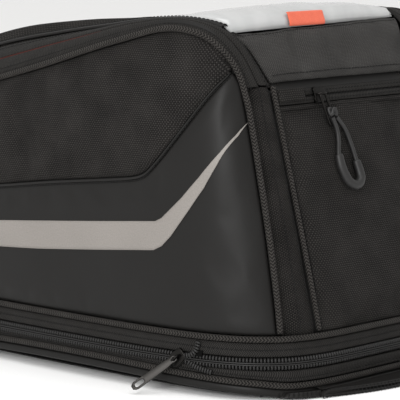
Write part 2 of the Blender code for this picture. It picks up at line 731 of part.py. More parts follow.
# ---------------------------------------------------------------- base band
def build_base():
    mat_edge = [(p.x * BASE_NARROW, p.y) for p in outline(0.0, -0.001)]
    mat = plate("base_mat", [mat_edge], MAT_TOP, "moulded_rubber")
    mat.location.z = MAT_TOP / 2
    board_thick = BOARD_TOP - MAT_TOP - GAP
    board_edge = [(p.x * BASE_NARROW, p.y) for p in outline(0.0, -0.007)]
    board = plate("base_board", [board_edge], board_thick, "board")
    board.location.z = MAT_TOP + GAP + board_thick / 2
    band("base_skirt", MAT_TOP + GAP, SKIRT_TOP, -0.004, 0.0, "woven_nylon", arches=("low", "high"))
    tube("base_welt", arched(outline(LOWER_WELT, 0.0005)), WELT_RADIUS, "welt_fabric", cyclic=True)
    welt_top = LOWER_WELT + WELT_RADIUS + GAP
    band("expansion_tape_lower", welt_top, LOWER_TAPE_TOP, -0.0018, -0.0002, "coated_fabric", arches=("low",))
    band("expansion_coil_lower", LOWER_TAPE_TOP + GAP, COIL_MIDDLE - GAP / 2, -0.0022, 0.0004, "zip_coil")
    band("expansion_gusset", BOARD_TOP + GAP, UPPER_TAPE_TOP, -0.0100, -0.0075, "coated_fabric")


def build_magnets():
    """Four magnet discs on their carrier sheet, on the board and under the floor lining."""
    carrier_thick = 0.0006
    size = (2 * MAGNET_X + 0.02, 2 * MAGNET_Y + 0.02, carrier_thick)
    low = BOARD_TOP + GAP
    carrier = block("base_magnets", size, Matrix.Translation((0, 0, low + carrier_thick / 2)), "magnet_steel")
    mesh = bpy.data.meshes.new("magnet_discs")
    work = bmesh.new()
    for x in (-MAGNET_X, MAGNET_X):
        for y in (-MAGNET_Y, MAGNET_Y):
            place = Matrix.Translation((x, y, low + 0.0002 + MAGNET_THICK / 2))
            bmesh.ops.create_cone(work, cap_ends=True, segments=16, radius1=MAGNET_RADIUS,
                                  radius2=MAGNET_RADIUS, depth=MAGNET_THICK, matrix=place)
    work.to_mesh(mesh)
    work.free()
    join_solid(carrier, add_object("magnet_discs", mesh, "magnet_steel"))
    floor = plate("floor_lining", [[(p.x, p.y) for p in outline(0.0, -0.0110)]], FABRIC, "coated_fabric")
    floor.location.z = low + 0.0002 + MAGNET_THICK + GAP + FABRIC / 2


def build_flap():
    """The magnet flap that lies flat in front of the base, and the bar magnet in its pouch."""
    steps = 14
    flap = [(FLAP_HALF_WIDTH, FLAP_HINGE_Y), (-FLAP_HALF_WIDTH, FLAP_HINGE_Y)]
    for step in range(steps + 1):
        x = FLAP_HALF_WIDTH * (2 * step / steps - 1)
        flap.append((x, min(FLAP_HINGE_Y - 0.0006, FLAP_TIP + FLAP_SWEEP * abs(x / FLAP_REACH) ** 2.2)))
    skin = 0.0016
    for name, low in (("flap_bottom", 0.0), ("flap_top", FLAP_THICK - skin)):
        made = plate(name, [flap], skin, "coated_fabric")
        made.location.z = low + skin / 2
    magnet_thick = FLAP_THICK - 2 * skin - 2 * GAP
    magnet = plate("flap_magnet", [rounded(0.026, 0.0045, 0.002)], magnet_thick, "magnet_steel")
    magnet.location = (0, (FLAP_HINGE_Y + FLAP_TIP) / 2 + 0.0005, FLAP_THICK / 2)


# ---------------------------------------------------------------- sliders and pulls


def build_slider(name, place):
    """A zip slider: wedge-shaped plate with two lugs and the pin between them.

    In its own frame the pin lies on X through the origin, the pull hangs along -Y and +Z looks away from the bag.
    """
    body = block(name, (0.0090, 0.0115, BODY_THICK), place, "dark_metal", edge=0.0005,
                 middle=(0, -0.001, -BODY_UNDER_PIN - BODY_THICK / 2))
    for side in (-1, 1):
        lug_height = 0.0042
        lug = block(name + "_lug", (0.0010, 0.0032, lug_height), place, "dark_metal",
                    middle=(side * 0.0026, 0, 0.0012 - lug_height / 2))
        join_solid(body, lug)
    pin = as_mesh(tube(name + "_pin", [(-0.0026, 0, 0), (0.0026, 0, 0)], PIN_RADIUS, "dark_metal"))
    pin.matrix_world = place
    pin.data.materials.clear()
    join_solid(body, pin)
    return body


def build_tab(name, place, length):
    """A flat metal pull: an eye round the slider's pin, and a blade with a slot near its end."""
    half_width = 0.0030
    blade = [(-half_width, -0.0042), (-half_width, -length + 0.003), (-half_width + 0.002, -length),
             (half_width - 0.002, -length), (half_width, -length + 0.003), (half_width, -0.0042),
             (0.0017, -0.0016), (-0.0017, -0.0016)]
    slot = rounded(0.0014, 0.0042, 0.0013, middle=(0.0, -length + 0.0068))
    tab = as_mesh(plate(name, [blade, slot], 0.0012, "dark_metal", place))
    eye = plate(name + "_eye", [circle(EYE_RADIUS), circle(PIN_RADIUS + 0.0004, 10)], 0.0034, "dark_metal")
    eye.matrix_world = place @ Matrix.Rotation(math.pi / 2, 4, "Y")
    eye = as_mesh(eye)
    join_solid(tab, eye)
    return tab


def build_eyelet_slider(name, place):
    """A zip slider whose one middle lug has a hole along X for a wire pull."""
    body = block(name, (0.0115, 0.0090, BODY_THICK), place, "dark_metal", edge=0.0005,
                 middle=(0, 0, -BODY_UNDER_PIN - BODY_THICK / 2))
    lug_place = place @ Matrix.Rotation(math.pi / 2, 4, "Y")
    outside = [(0.0032, -0.0021), (0.0032, 0.0021), (-0.0012, 0.0021), (-0.0022, 0.0012),
               (-0.0022, -0.0012), (-0.0012, -0.0021)]
    lug = plate(name + "_lug", [outside, circle(LOOP_WIRE + 0.0004, 10)], 0.0020, "dark_metal", lug_place)
    join_solid(body, as_mesh(lug))
    return body


def build_wire_loop(name, place):
    """A closed wire loop: its top bar lies on X through the origin and it hangs along -Y."""
    corner = 0.0012
    outline_points = rounded(LOOP_HALF_WIDTH, LOOP_LENGTH / 2, corner, middle=(0.0, -LOOP_LENGTH / 2))
    tube(name, [place @ Vector((x, y, 0)) for x, y in outline_points], LOOP_WIRE, "dark_metal",
         cyclic=True, sides_setting=2)


EXPANSION_SPOT = on_wall((-0.122, -0.106, COIL_MIDDLE), PIN_HEIGHT)
EXPANSION_PULL = Vector((-0.58, 0.61, -0.60)).normalized()
POCKET_SPOT = on_wall(wall_point(-0.0285, 0.1824), PIN_HEIGHT)
LOOP_HANG = Vector((0.0047, -0.0053, -0.0200)).normalized()


def pin_frame(spot, hang, rough_axis):
    """A pull's frame: the hinge axis square to the direction in which it hangs."""
    axis = Vector(rough_axis)
    axis = (axis - hang * axis.dot(hang)).normalized()
    return place_at(spot, axis, -hang)


def build_expansion_slider():
    outward = wall_normal(EXPANSION_SPOT)
    pin_axis = EXPANSION_PULL.cross(outward).normalized()
    slider_place = place_at(EXPANSION_SPOT, pin_axis, outward.cross(pin_axis))
    build_slider("expansion_slider", slider_place)
    build_tab("expansion_pull", pin_frame(EXPANSION_SPOT, EXPANSION_PULL, pin_axis), 0.0290)


def build_rear_sliders():
    rim = SIDE_RIM[-1]
    edge = SIDE_LID_EDGE[-1]
    up = (edge - rim).normalized()
    outward = up.cross(Vector((1, 0, 0)))
    for side, sign in (("left", -1), ("right", 1)):
        middle = (rim + edge) / 2 + outward * (PIN_HEIGHT + 0.0004)
        place = place_at((sign * REAR_SLIDER_X, middle.y, middle.z), (-1, 0, 0), up)
        build_slider("main_slider_" + side, place)
        build_tab("main_pull_" + side, place, 0.0260)


def build_pocket_pull():
    up_face = Vector((0, FRONT_LEAN, 1)).normalized()
    build_eyelet_slider("pocket_slider", place_at(POCKET_SPOT, (1, 0, 0), up_face))
    frame = pin_frame(POCKET_SPOT, LOOP_HANG, (1, 0, 0))
    build_wire_loop("pocket_loop", frame)
    outward = frame.to_3x3() @ Vector((0, 0, 1))
    knot_middle = POCKET_SPOT + LOOP_HANG * KNOT_REACH + outward * (KNOT_RADIUS + LOOP_WIRE + GAP)
    mesh = bpy.data.meshes.new("pull_knot")
    work = bmesh.new()
    bmesh.ops.create_uvsphere(work, u_segments=10, v_segments=6, radius=KNOT_RADIUS,
                              matrix=Matrix.Translation(knot_middle))
    work.to_mesh(mesh)
    work.free()
    add_object("pull_knot", mesh, "moulded_rubber")
    start = knot_middle + LOOP_HANG * STRAND_DROP
    for name, route in (("pull_cord_left", LEFT_STRAND), ("pull_cord_right", RIGHT_STRAND)):
        side = -1 if name.endswith("left") else 1
        first = start + Vector((side * (CORD_RADIUS + GAP), 0, 0))
        tube(name, smooth([first] + route, 4), CORD_RADIUS, "moulded_rubber", sides_setting=2)
    grip = smooth(GRIP, 4)
    tube("pull_grip", grip, GRIP_RADIUS, "moulded_rubber", sides_setting=2)


# ---------------------------------------------------------------- rear fittings


def build_rings():
    """Two D-rings for a carrying strap, each hanging in a folded webbing tab on the rear panel."""
    half_bar = TAB_WIDTH / 2 + 0.0030
    ring_depth = 0.0155
    for side, sign in (("left", -1), ("right", 1)):
        wall = wall_point(sign * RING_X, RING_Z, end=1)
        centre = Vector((wall.x, wall.y + RING_OFF_WALL, wall.z))
        arc = [(half_bar * math.cos(angle), -ring_depth * math.sin(angle))
               for angle in [math.pi * step / 10 for step in range(11)]]
        points = [centre + Vector((x, 0, z)) for x, z in arc]
        tube("strap_ring_" + side, points, RING_WIRE, "dark_metal", cyclic=True, sides_setting=2)
        fold = [(-0.0032, -0.0010), (-0.0032, 0.0180), (-0.0008, 0.0180), (0.0014, 0.0034), (0.0032, 0.0012),
                (0.0032, -0.0020), (0.0014, -0.0034), (-0.0014, -0.0034)]
        hole = circle(RING_WIRE + 0.0005, 12)
        place = place_at(centre, (0, 1, 0), (0, 0, 1))
        plate("ring_tab_" + side, [fold, hole], TAB_WIDTH, "webbing", place)


def build_handle():
    """A webbing carry handle bowed out from the rear panel, its two ends sewn down."""
    sections = []
    steps = 16
    half_height = 0.0125
    for step in range(steps + 1):
        share = 2 * step / steps - 1
        x = HANDLE_HALF * share
        lift = HANDLE_BOW * (0.5 + 0.5 * math.cos(math.pi * share)) ** 0.8
        wall = wall_point(x, HANDLE_Z, end=1)
        low = wall.y + 0.0008 + lift
        thick = 0.0026 + 0.0050 * (0.5 + 0.5 * math.cos(math.pi * share))
        sections.append([Vector((wall.x, low, HANDLE_Z - half_height)),
                         Vector((wall.x, low + thick, HANDLE_Z - half_height)),
                         Vector((wall.x, low + thick, HANDLE_Z + half_height)),
                         Vector((wall.x, low, HANDLE_Z + half_height))])
    loft("carry_handle", sections, "webbing")


# ---------------------------------------------------------------- moving groups
def hang_from(pivot_name, point, names):
    """An empty on a joint's axis that carries the pieces of one moving group."""
    pivot = bpy.data.objects.new(pivot_name, None)
    PARTS.objects.link(pivot)
    pivot.location = point
    pivot.empty_display_size = 0.01
    bpy.context.view_layer.update()
    for name in names:
        piece = bpy.data.objects[name]
        piece.parent = pivot
        piece.matrix_parent_inverse = pivot.matrix_world.inverted()


def build_pivots():
    hang_from("lid_fold", LID_FOLD, ["shoulder_panel", "lid_panel", "lid_zip_tape", "lid_coil", "map_window",
                                     "window_binding", "label_tag"])
    hang_from("flap_fold", (0, FLAP_HINGE_Y, FLAP_THICK), ["flap_bottom", "flap_top", "flap_magnet"])
    hang_from("loop_pivot", POCKET_SPOT, ["pocket_loop", "pull_knot"])
    start = bpy.data.objects["pull_cord_left"].data.splines[0].points[0].co
    hang_from("cord_pivot", start[:3], ["pull_cord_left", "pull_cord_right", "pull_grip"])
    for side, sign in (("left", -1), ("right", 1)):
        wall = wall_point(sign * RING_X, RING_Z, end=1)
        hang_from("ring_pivot_" + side, (wall.x, wall.y + RING_OFF_WALL, wall.z), ["strap_ring_" + side])


build_base()
build_magnets()
build_flap()
build_upper_band()
build_sides()
build_front()
build_rear()
build_rim()
build_main_zip()
build_lid()
build_expansion_slider()
build_rear_sliders()
build_pocket_pull()
build_rings()
build_handle()
build_pivots()
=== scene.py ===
"""Looks of the motorcycle tank bag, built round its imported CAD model.

Every length is in metres unless named otherwise; texture coordinates are in millimetres.
"""
import math

import bmesh
import bpy
import numpy as np
from mathutils import Matrix, Vector, noise
from mathutils.bvhtree import BVHTree


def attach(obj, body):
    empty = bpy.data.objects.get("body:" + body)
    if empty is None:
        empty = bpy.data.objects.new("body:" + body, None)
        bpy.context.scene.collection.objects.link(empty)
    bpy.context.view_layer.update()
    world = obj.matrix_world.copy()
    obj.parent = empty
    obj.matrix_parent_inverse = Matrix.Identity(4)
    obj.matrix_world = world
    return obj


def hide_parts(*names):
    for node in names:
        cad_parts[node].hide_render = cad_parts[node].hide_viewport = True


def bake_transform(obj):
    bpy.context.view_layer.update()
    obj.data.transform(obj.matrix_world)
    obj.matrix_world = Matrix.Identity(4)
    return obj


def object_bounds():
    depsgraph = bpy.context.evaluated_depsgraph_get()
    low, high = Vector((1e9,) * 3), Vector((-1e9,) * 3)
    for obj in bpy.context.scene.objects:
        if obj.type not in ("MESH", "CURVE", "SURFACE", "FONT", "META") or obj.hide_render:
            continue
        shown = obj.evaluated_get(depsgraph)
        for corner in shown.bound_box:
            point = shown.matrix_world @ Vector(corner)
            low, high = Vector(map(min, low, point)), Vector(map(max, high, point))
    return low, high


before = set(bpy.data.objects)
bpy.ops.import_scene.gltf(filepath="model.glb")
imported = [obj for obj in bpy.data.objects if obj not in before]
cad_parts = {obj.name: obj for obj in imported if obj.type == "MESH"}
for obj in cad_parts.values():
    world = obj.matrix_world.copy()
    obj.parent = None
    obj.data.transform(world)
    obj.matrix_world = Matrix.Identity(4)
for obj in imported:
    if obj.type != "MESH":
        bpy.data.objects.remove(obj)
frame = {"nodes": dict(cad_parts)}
CAD_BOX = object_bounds()

# ---------------------------------------------------------------- dimensions
# The wall of the bag, as the CAD has it
BASE_HALF_WIDTH = 0.1205
BASE_HALF_LENGTH = 0.178
SIDE_BOW = 0.05
BASE_EXPONENT = 5.0
EXPONENT_RISE = 29.6
WALL_FOOT = 0.038
FRONT_LEAN = 0.2763
REAR_LEAN = 0.05
SIDE_LEAN = 0.0658
GAP = 0.0003
# Seams and panels
WELT_RADIUS = 0.0020
THIN_WELT_RADIUS = 0.0017
PANEL_FOOT = 0.0403
LOWER_WELT = 0.0085
COIL_MIDDLE = 0.0225
LID_CROWN = 0.0020
RIM_X = 0.0945
POCKET_X = 0.069
POCKET_TOP = 0.1775
POCKET_HALF = 0.0672
POCKET_ZIP_Z = 0.1824
# The underside and its magnet flap
FLAP_TIP = -0.1975
FLAP_SWEEP = 0.0295
FLAP_REACH = 0.0955
FLAP_HALF_WIDTH = 0.074
FLAP_HINGE_Y = -0.181
FLAP_MIDDLE = 0.0029
BASE_RISE = 0.0064
BASE_NARROW = 0.88
MAT_STAGGER = 0.006
# The window's ends, as stations of LID_EDGE
WINDOW_START = 2.7
WINDOW_END = 9.4
# The pocket's pull, and the sliders' hinge pins above the wall
PIN_HEIGHT = 0.0048
CORD_RADIUS = 0.0015
KNOT_RADIUS = 0.0018
# Sewing
STITCH_PITCH = 0.0031
STITCH_LENGTH = 0.0025
STITCH_RADIUS = 0.00028
STITCH_SAG = 0.00025
HEM_STITCH_PITCH = 0.0027
WHIP_PITCH = 0.0030
WHIP_RADIUS = 0.00040
# Thicknesses of cloth and tape
PADDED_CLOTH = 0.0030
QUILTED_CLOTH = 0.0026
TURNED_CLOTH = 0.0008
EDGING_CLOTH = 0.0007
TAPE_THICKNESS = 0.0010
BROAD_TAPE_THICKNESS = 0.0012
# The coil zip round the base
COIL_PITCH = 0.0022
COIL_BAR_LENGTH = 0.0038
COIL_BAR_RADIUS = 0.0009
COIL_ROW_OFFSET = 0.0021
COIL_CORD_OFFSET = 0.0006
COIL_CORD_RADIUS = 0.0005
# How the lid's front, the window and the label sit
SHOULDER_BOW = 0.0034
SHOULDER_TILT = 0.0022
SHOULDER_LIP = 0.0020
WINDOW_BOW = 0.0030
WINDOW_TILT = 0.0020
WINDOW_PUFF = 0.0064
WINDOW_THICKNESS = 0.0006
LABEL_LEFT = -0.0295
LABEL_RIGHT = 0.0060
# Pulls
GRIP_RADIUS = 0.0025
GRIP_SWELL = 0.0007
KNOT_CORD_RADIUS = 0.00125
EXPANSION_TAB_LENGTH = 0.0320
REAR_TAB_LENGTH = 0.0260
# Ends of panels, and points inside the bag that tell outward from inward
RIM_TOP_X = 0.0915
CLOTH_FOOT = PANEL_FOOT - 0.0008
BAG_MIDDLE = np.array((0, 0, 0.09))
LID_MIDDLE = np.array((0, 0.02, 0.09))
# Curves of the left side, front to rear: X, Y, Z
RIM = np.array([
    (-0.0915, -0.133, 0.190), (-0.095, -0.124, 0.207), (-0.102, -0.112, 0.2205), (-0.108, -0.098, 0.2255),
    (-0.112, -0.080, 0.225), (-0.114, -0.052, 0.2183), (-0.115, -0.026, 0.2116), (-0.116, 0.021, 0.1983),
    (-0.116, 0.070, 0.1858), (-0.115, 0.115, 0.1740), (-0.108, 0.146, 0.1665), (-0.092, 0.165, 0.1625),
    (-0.060, 0.1725, 0.1615), (0.0, 0.1725, 0.1610)])
LID_EDGE = np.array([
    (-0.069, -0.1355, 0.190), (-0.0745, -0.1275, 0.206), (-0.081, -0.1195, 0.2195), (-0.0885, -0.1065, 0.2265),
    (-0.094, -0.081, 0.2297), (-0.095, -0.047, 0.2275), (-0.0955, -0.022, 0.224), (-0.096, 0.021, 0.218),
    (-0.097, 0.070, 0.210), (-0.095, 0.115, 0.200), (-0.086, 0.146, 0.193), (-0.066, 0.162, 0.1885),
    (-0.036, 0.168, 0.1865), (0.0, 0.1695, 0.186)])
SIDE_SEAM = np.array([
    (-0.097, -0.1285, 0.2015), (-0.105, -0.1215, 0.1917), (-0.110, -0.113, 0.1804), (-0.114, -0.100, 0.1637),
    (-0.116, -0.089, 0.1506), (-0.118, -0.0775, 0.1383), (-0.118, -0.071, 0.134), (-0.119, -0.061, 0.1313),
    (-0.120, -0.035, 0.1282), (-0.1205, 0.0107, 0.123), (-0.1205, 0.0592, 0.1166), (-0.118, 0.105, 0.111),
    (-0.112, 0.140, 0.107), (-0.099, 0.163, 0.105)])
# The stripe's lower and upper edges, front to rear: Y, Z
STRIPE_LOW = np.array([
    (-0.1378, 0.1690), (-0.1359, 0.1615), (-0.1310, 0.1518), (-0.1267, 0.1419), (-0.1205, 0.1293),
    (-0.1107, 0.1150), (-0.0980, 0.0978), (-0.0912, 0.0909), (-0.0849, 0.0878), (-0.0289, 0.0824),
    (0.0175, 0.0782), (0.0568, 0.0757), (0.1100, 0.0730), (0.1400, 0.0715)])
STRIPE_HIGH = np.array([
    (-0.1380, 0.1697), (-0.1347, 0.1615), (-0.1283, 0.1511), (-0.1235, 0.1446), (-0.1166, 0.1355),
    (-0.1050, 0.1222), (-0.0950, 0.1128), (-0.0901, 0.1083), (-0.0854, 0.1060), (-0.0367, 0.1015),
    (0.0091, 0.0974), (0.0579, 0.0930), (0.1100, 0.0890), (0.1400, 0.0870)])


# ---------------------------------------------------------------- the bag's wall and its curves
def unit(vectors):
    """The same vectors at length one."""
    return vectors / np.linalg.norm(vectors, axis=-1, keepdims=True)


def travel(points):
    """How far along a path each of its points lies."""
    return np.concatenate([[0], np.cumsum(np.linalg.norm(np.diff(points, axis=0), axis=1))])


def wall_size(z):
    """Half width, half length, middle along Y and corner exponent of the plan outline at height z."""
    rise = np.maximum(0.0, z - WALL_FOOT)
    front = -BASE_HALF_LENGTH + FRONT_LEAN * rise
    rear = BASE_HALF_LENGTH - REAR_LEAN * rise
    return (BASE_HALF_WIDTH - SIDE_LEAN * rise, (rear - front) / 2, (rear + front) / 2,
            BASE_EXPONENT + EXPONENT_RISE * rise)


def wall_level(points):
    """How far out each point lies, as a share of the wall's own distance: 1 on the wall."""
    half_width, half_length, centre, exponent = wall_size(points[..., 2])
    along = (points[..., 1] - centre) / half_length
    bowed = half_width * (1 + SIDE_BOW * (1 - np.minimum(1.0, along * along)))
    return (np.abs(points[..., 0] / bowed) ** exponent + np.abs(along) ** exponent) ** (1 / exponent)


def wall_normal(points):
    """The wall's outward normals at these points."""
    step = 1e-4
    slope = [wall_level(points + axis * step) - wall_level(points - axis * step) for axis in np.eye(3)]
    return unit(np.stack(slope, axis=-1))


def on_wall(points, proud=0.0):
    """The points moved level onto the wall, and then out along its normal by proud."""
    points = np.array(points, float)
    centre = wall_size(points[..., 2])[2]
    for _ in range(4):
        scale = 1 / wall_level(points)
        points[..., 0] *= scale
        points[..., 1] = centre + (points[..., 1] - centre) * scale
    if np.any(proud):
        points = points + wall_normal(points) * np.asarray(proud, float)[..., None]
    return points


def columns_at(wanted, known, values):
    """Each column of values, known at some stations, at the wanted stations."""
    return np.stack([np.interp(wanted, known, column) for column in values.T], axis=1)


def resample(points, count):
    """The same polyline with count evenly spaced points."""
    points = np.asarray(points, float)
    travelled = travel(points)
    return columns_at(np.linspace(0, travelled[-1], count), travelled, points)


def length_of(points):
    """The length of a path."""
    return float(np.linalg.norm(np.diff(points, axis=0), axis=1).sum())


def curve_at(points, station):
    """Points of the smooth curve through the given ones, at any stations (0 is the first point)."""
    points = np.asarray(points, float)
    padded = np.vstack([2 * points[0] - points[1], points, 2 * points[-1] - points[-2]])
    station = np.clip(np.asarray(station, float), 0, len(points) - 1)
    index = np.minimum(station.astype(int), len(points) - 2)
    t = (station - index)[..., None]
    before, start, end, after = (padded[index + offset] for offset in range(4))
    return 0.5 * (2 * start + (end - before) * t + (2 * before - 5 * start + 4 * end - after) * t ** 2
                  + (3 * start - before - 3 * end + after) * t ** 3)


def smooth(points, spans=12):
    """The smooth curve through the points, each gap cut into this many spans."""
    return curve_at(points, np.linspace(0, len(points) - 1, (len(points) - 1) * spans + 1))


def outline(z, proud=0.0, steps=360):
    """The closed plan outline at height z, counter-clockwise, its points spread evenly."""
    half_width, half_length, centre, exponent = wall_size(np.array(z))
    angle = np.linspace(0, 2 * np.pi, 1441)
    x = half_width * np.sign(np.cos(angle)) * np.abs(np.cos(angle)) ** (2 / exponent)
    y = centre + half_length * np.sign(np.sin(angle)) * np.abs(np.sin(angle)) ** (2 / exponent)
    ring = resample(on_wall(np.stack([x, y, np.full_like(x, z)], axis=1)), steps + 1)[:-1]
    return on_wall(ring, proud)


def wall_point(x, z, end=-1):
    """Points of the wall with this x and height, at the front (end -1) or the rear (end +1)."""
    x, z = np.broadcast_arrays(np.asarray(x, float), np.asarray(z, float))
    half_width, half_length, centre, exponent = wall_size(z)
    share = (1 - np.minimum(1.0, np.abs(x / half_width) ** exponent)) ** (1 / exponent)
    return on_wall(np.stack([x, centre + end * half_length * share, z], axis=-1))


def wall_line(x_low, x_high, z_low, z_high, end=-1, steps=8):
    """A line up the wall at the front or the rear, from one x and height to another."""
    return wall_point(np.linspace(x_low, x_high, steps), np.linspace(z_low, z_high, steps), end)


def wall_side(x_end, z, count):
    """The left side's outline at height z, front to rear, between the corner points where x is x_end."""
    ring = outline(z, 0.0, 720)
    ring = ring[ring[:, 0] < -x_end]
    return resample(ring[np.argsort(ring[:, 1])], count)


def side_points(y, z):
    """The points of the left wall with these y and heights."""
    half_width, half_length, centre, exponent = wall_size(z)
    along = np.minimum(1.0, np.abs(y - centre) / half_length)
    x = -half_width * (1 + SIDE_BOW * (1 - along * along)) * (1 - along ** exponent) ** (1 / exponent)
    return np.stack([x, y, z], axis=-1)


def arch(points):
    """How much of the underside's arch each point takes: 1 at the middle of a long side, 0 at the ends."""
    along = (points[..., 1] + 0.010) / 0.180
    return np.clip(1 - along * along, 0, 1) * ramp(np.abs(points[..., 0]), 0.085, 0.108)


def arched_ring(z, proud, steps, lift):
    """The plan outline at height z, raised by up to lift where the underside arches."""
    ring = outline(z, proud, steps)
    ring[:, 2] += lift * arch(ring)
    return ring


def coons(low, high, first, last):
    """Points that fill the area between four edges: rows from low to high, columns from first to last."""
    u = np.linspace(0, 1, len(low))[None, :, None]
    v = np.linspace(0, 1, len(first))[:, None, None]
    corners = ((1 - u) * (1 - v) * low[0] + u * (1 - v) * low[-1] + (1 - u) * v * high[0] + u * v * high[-1])
    return (1 - v) * low + v * high + (1 - u) * first[:, None] + u * last[:, None] - corners


def mirrored(points):
    """The same points on the other side of the bag."""
    return np.asarray(points) * (-1, 1, 1)


def both_sides(left):
    """The left side's points and the right side's, each with the word that ends its pieces' names."""
    return ("left", left), ("right", mirrored(left))


def drawn_along(x, path):
    """The grid that a level row of points at these x leaves when it moves along a (y, z) path."""
    return np.stack([np.column_stack([x, np.full(len(x), y), np.full(len(x), z)]) for y, z in path])


def whole_way(left):
    """A left-hand curve that ends at the rear centre, carried on round the right-hand side."""
    return np.vstack([left, mirrored(left)[-2::-1]])


def ramp(value, low, high):
    """A smooth step from 0 at low to 1 at high."""
    share = np.clip((value - low) / (high - low), 0, 1)
    return share * share * (3 - 2 * share)


def ripple(points, size, height, seed=0.0):
    """A smooth random height for each point, with hills about this size."""
    flat = points.reshape(-1, 3) / size
    values = [noise.noise(Vector((x + seed, y - seed, z))) for x, y, z in flat]
    return np.array(values).reshape(points.shape[:-1]) * height


def shifted(edge, towards, distance):
    """A line moved by a distance towards a second line, point by point."""
    return edge + unit(towards - edge) * distance


# ---------------------------------------------------------------- materials
class Look:
    """One procedural material, built node by node."""

    def __init__(self, name, slot, coordinates="UV", **sockets):
        self.material = bpy.data.materials.new(name)
        self.material.use_nodes = True
        self.material["slot"] = slot
        self.tree = self.material.node_tree
        self.shader = self.tree.nodes["Principled BSDF"]
        for socket, value in sockets.items():
            self.shader.inputs[socket.replace("_", " ")].default_value = value
        place = self.node("ShaderNodeTexCoord").outputs[coordinates]
        if coordinates == "Object":
            place = self.node("ShaderNodeVectorMath", {0: place, "Scale": 1000.0}, operation="SCALE").outputs[0]
        self.place = place
        split = self.node("ShaderNodeSeparateXYZ", {0: place})
        self.u, self.v = split.outputs[0], split.outputs[1]

    def node(self, kind, inputs=None, **settings):
        made = self.tree.nodes.new(kind)
        for key, value in settings.items():
            setattr(made, key, value)
        for socket, value in (inputs or {}).items():
            if isinstance(value, bpy.types.NodeSocket):
                self.tree.links.new(value, made.inputs[socket])
            else:
                made.inputs[socket].default_value = value
        return made

    def math(self, operation, first, second=0.0):
        return self.node("ShaderNodeMath", {0: first, 1: second}, operation=operation).outputs[0]

    def blend(self, first, share, second):
        """A sum of two values, the first with this share and the second with the rest."""
        return self.math("ADD", self.math("MULTIPLY", first, share), self.math("MULTIPLY", second, 1 - share))

    def noise(self, size, detail=2.0):
        """Smooth noise from 0 to 1 with hills of this many millimetres."""
        inputs = {"Vector": self.place, "Scale": 1.0 / size, "Detail": detail}
        return self.node("ShaderNodeTexNoise", inputs).outputs["Fac"]

    def cells(self, size, feature="DISTANCE_TO_EDGE"):
        """A distance within cells of this many millimetres."""
        inputs = {"Vector": self.place, "Scale": 1.0 / size}
        return self.node("ShaderNodeTexVoronoi", inputs, feature=feature).outputs["Distance"]

    def wave(self, across, pitch):
        """A sine from -1 to 1 across one coordinate, pitch in millimetres."""
        return self.math("SINE", self.math("MULTIPLY", across, 2 * math.pi / pitch))

    def spread(self, value, low, high):
        """A value from 0 to 1 spread to low to high."""
        return self.math("ADD", self.math("MULTIPLY", value, high - low), low)

    def colour(self, factor, low, high):
        """The base colour, from low to high as the factor goes from 0 to 1."""
        mix = self.node("ShaderNodeMix", {"Factor": factor}, data_type="RGBA")
        mix.inputs["A"].default_value = (*low, 1.0)
        mix.inputs["B"].default_value = (*high, 1.0)
        self.tree.links.new(mix.outputs["Result"], self.shader.inputs["Base Color"])

    def rough(self, factor, low, high):
        """The roughness, from low to high as the factor goes from 0 to 1."""
        self.tree.links.new(self.spread(factor, low, high), self.shader.inputs["Roughness"])

    def bump(self, height, depth, strength=1.0):
        """Relief: a height from 0 to 1 stands for this depth in metres."""
        bump = self.node("ShaderNodeBump", {"Height": height, "Distance": depth, "Strength": strength})
        self.tree.links.new(bump.outputs[0], self.shader.inputs["Normal"])


def shade(colour, factor):
    """A colour made lighter or darker."""
    return tuple(min(1.0, part * factor) for part in colour)


def woven(name, slot, colour, warp, weft, depth, coordinates="UV", contrast=1.0, **sockets):
    """Plain weave: threads swell over each crossing; the crowns are painted lighter as a painted highlight, and warp
    and weft crowns differ as a painted sheen.
    """
    look = Look(name, slot, coordinates, **sockets)
    wobble = look.spread(look.noise(6.0), -0.5, 0.5)
    u = look.math("ADD", look.u, wobble)
    v = look.math("ADD", look.v, wobble)
    product = look.math("MULTIPLY", look.wave(u, 2 * warp), look.wave(v, 2 * weft))
    lumps = look.math("POWER", look.math("ABSOLUTE", product), 0.8)
    turn = look.math("GREATER_THAN", product, 0.0)
    # Painted highlight: the swollen crowns are lighter, one crown of each pair less so as a painted sheen
    dots = look.math("MULTIPLY", lumps, look.spread(turn, 0.35, 1.0))
    patches = look.spread(look.noise(24.0, 4.0), -0.30 * contrast, 0.30 * contrast)
    fuzz = look.spread(look.noise(0.8, 2.0), -0.30 * contrast, 0.30 * contrast)
    tone = look.math("ADD", dots, look.math("ADD", patches, fuzz))
    look.colour(tone, shade(colour, 1 - 0.75 * contrast), shade(colour, 1 + 1.6 * contrast))
    look.rough(tone, 0.95, 0.70)
    look.bump(lumps, depth)
    return look.material


def leather_cloth(name, slot, colour, rough_low, rough_high, depth, coordinates="UV", **sockets):
    """Coated fabric with a fine leather grain."""
    look = Look(name, slot, coordinates, **sockets)
    pores = look.math("SMOOTH_MIN", look.cells(0.9), 0.25)
    broad = look.noise(35.0, 3.0)
    fine = look.noise(1.6, 3.0)
    tone = look.math("MULTIPLY", look.math("ADD", broad, fine), 0.5)
    look.colour(tone, shade(colour, 0.8), shade(colour, 1.25))
    look.rough(tone, rough_low, rough_high)
    look.bump(look.math("ADD", pores, look.math("MULTIPLY", fine, 0.4)), depth)
    return look.material


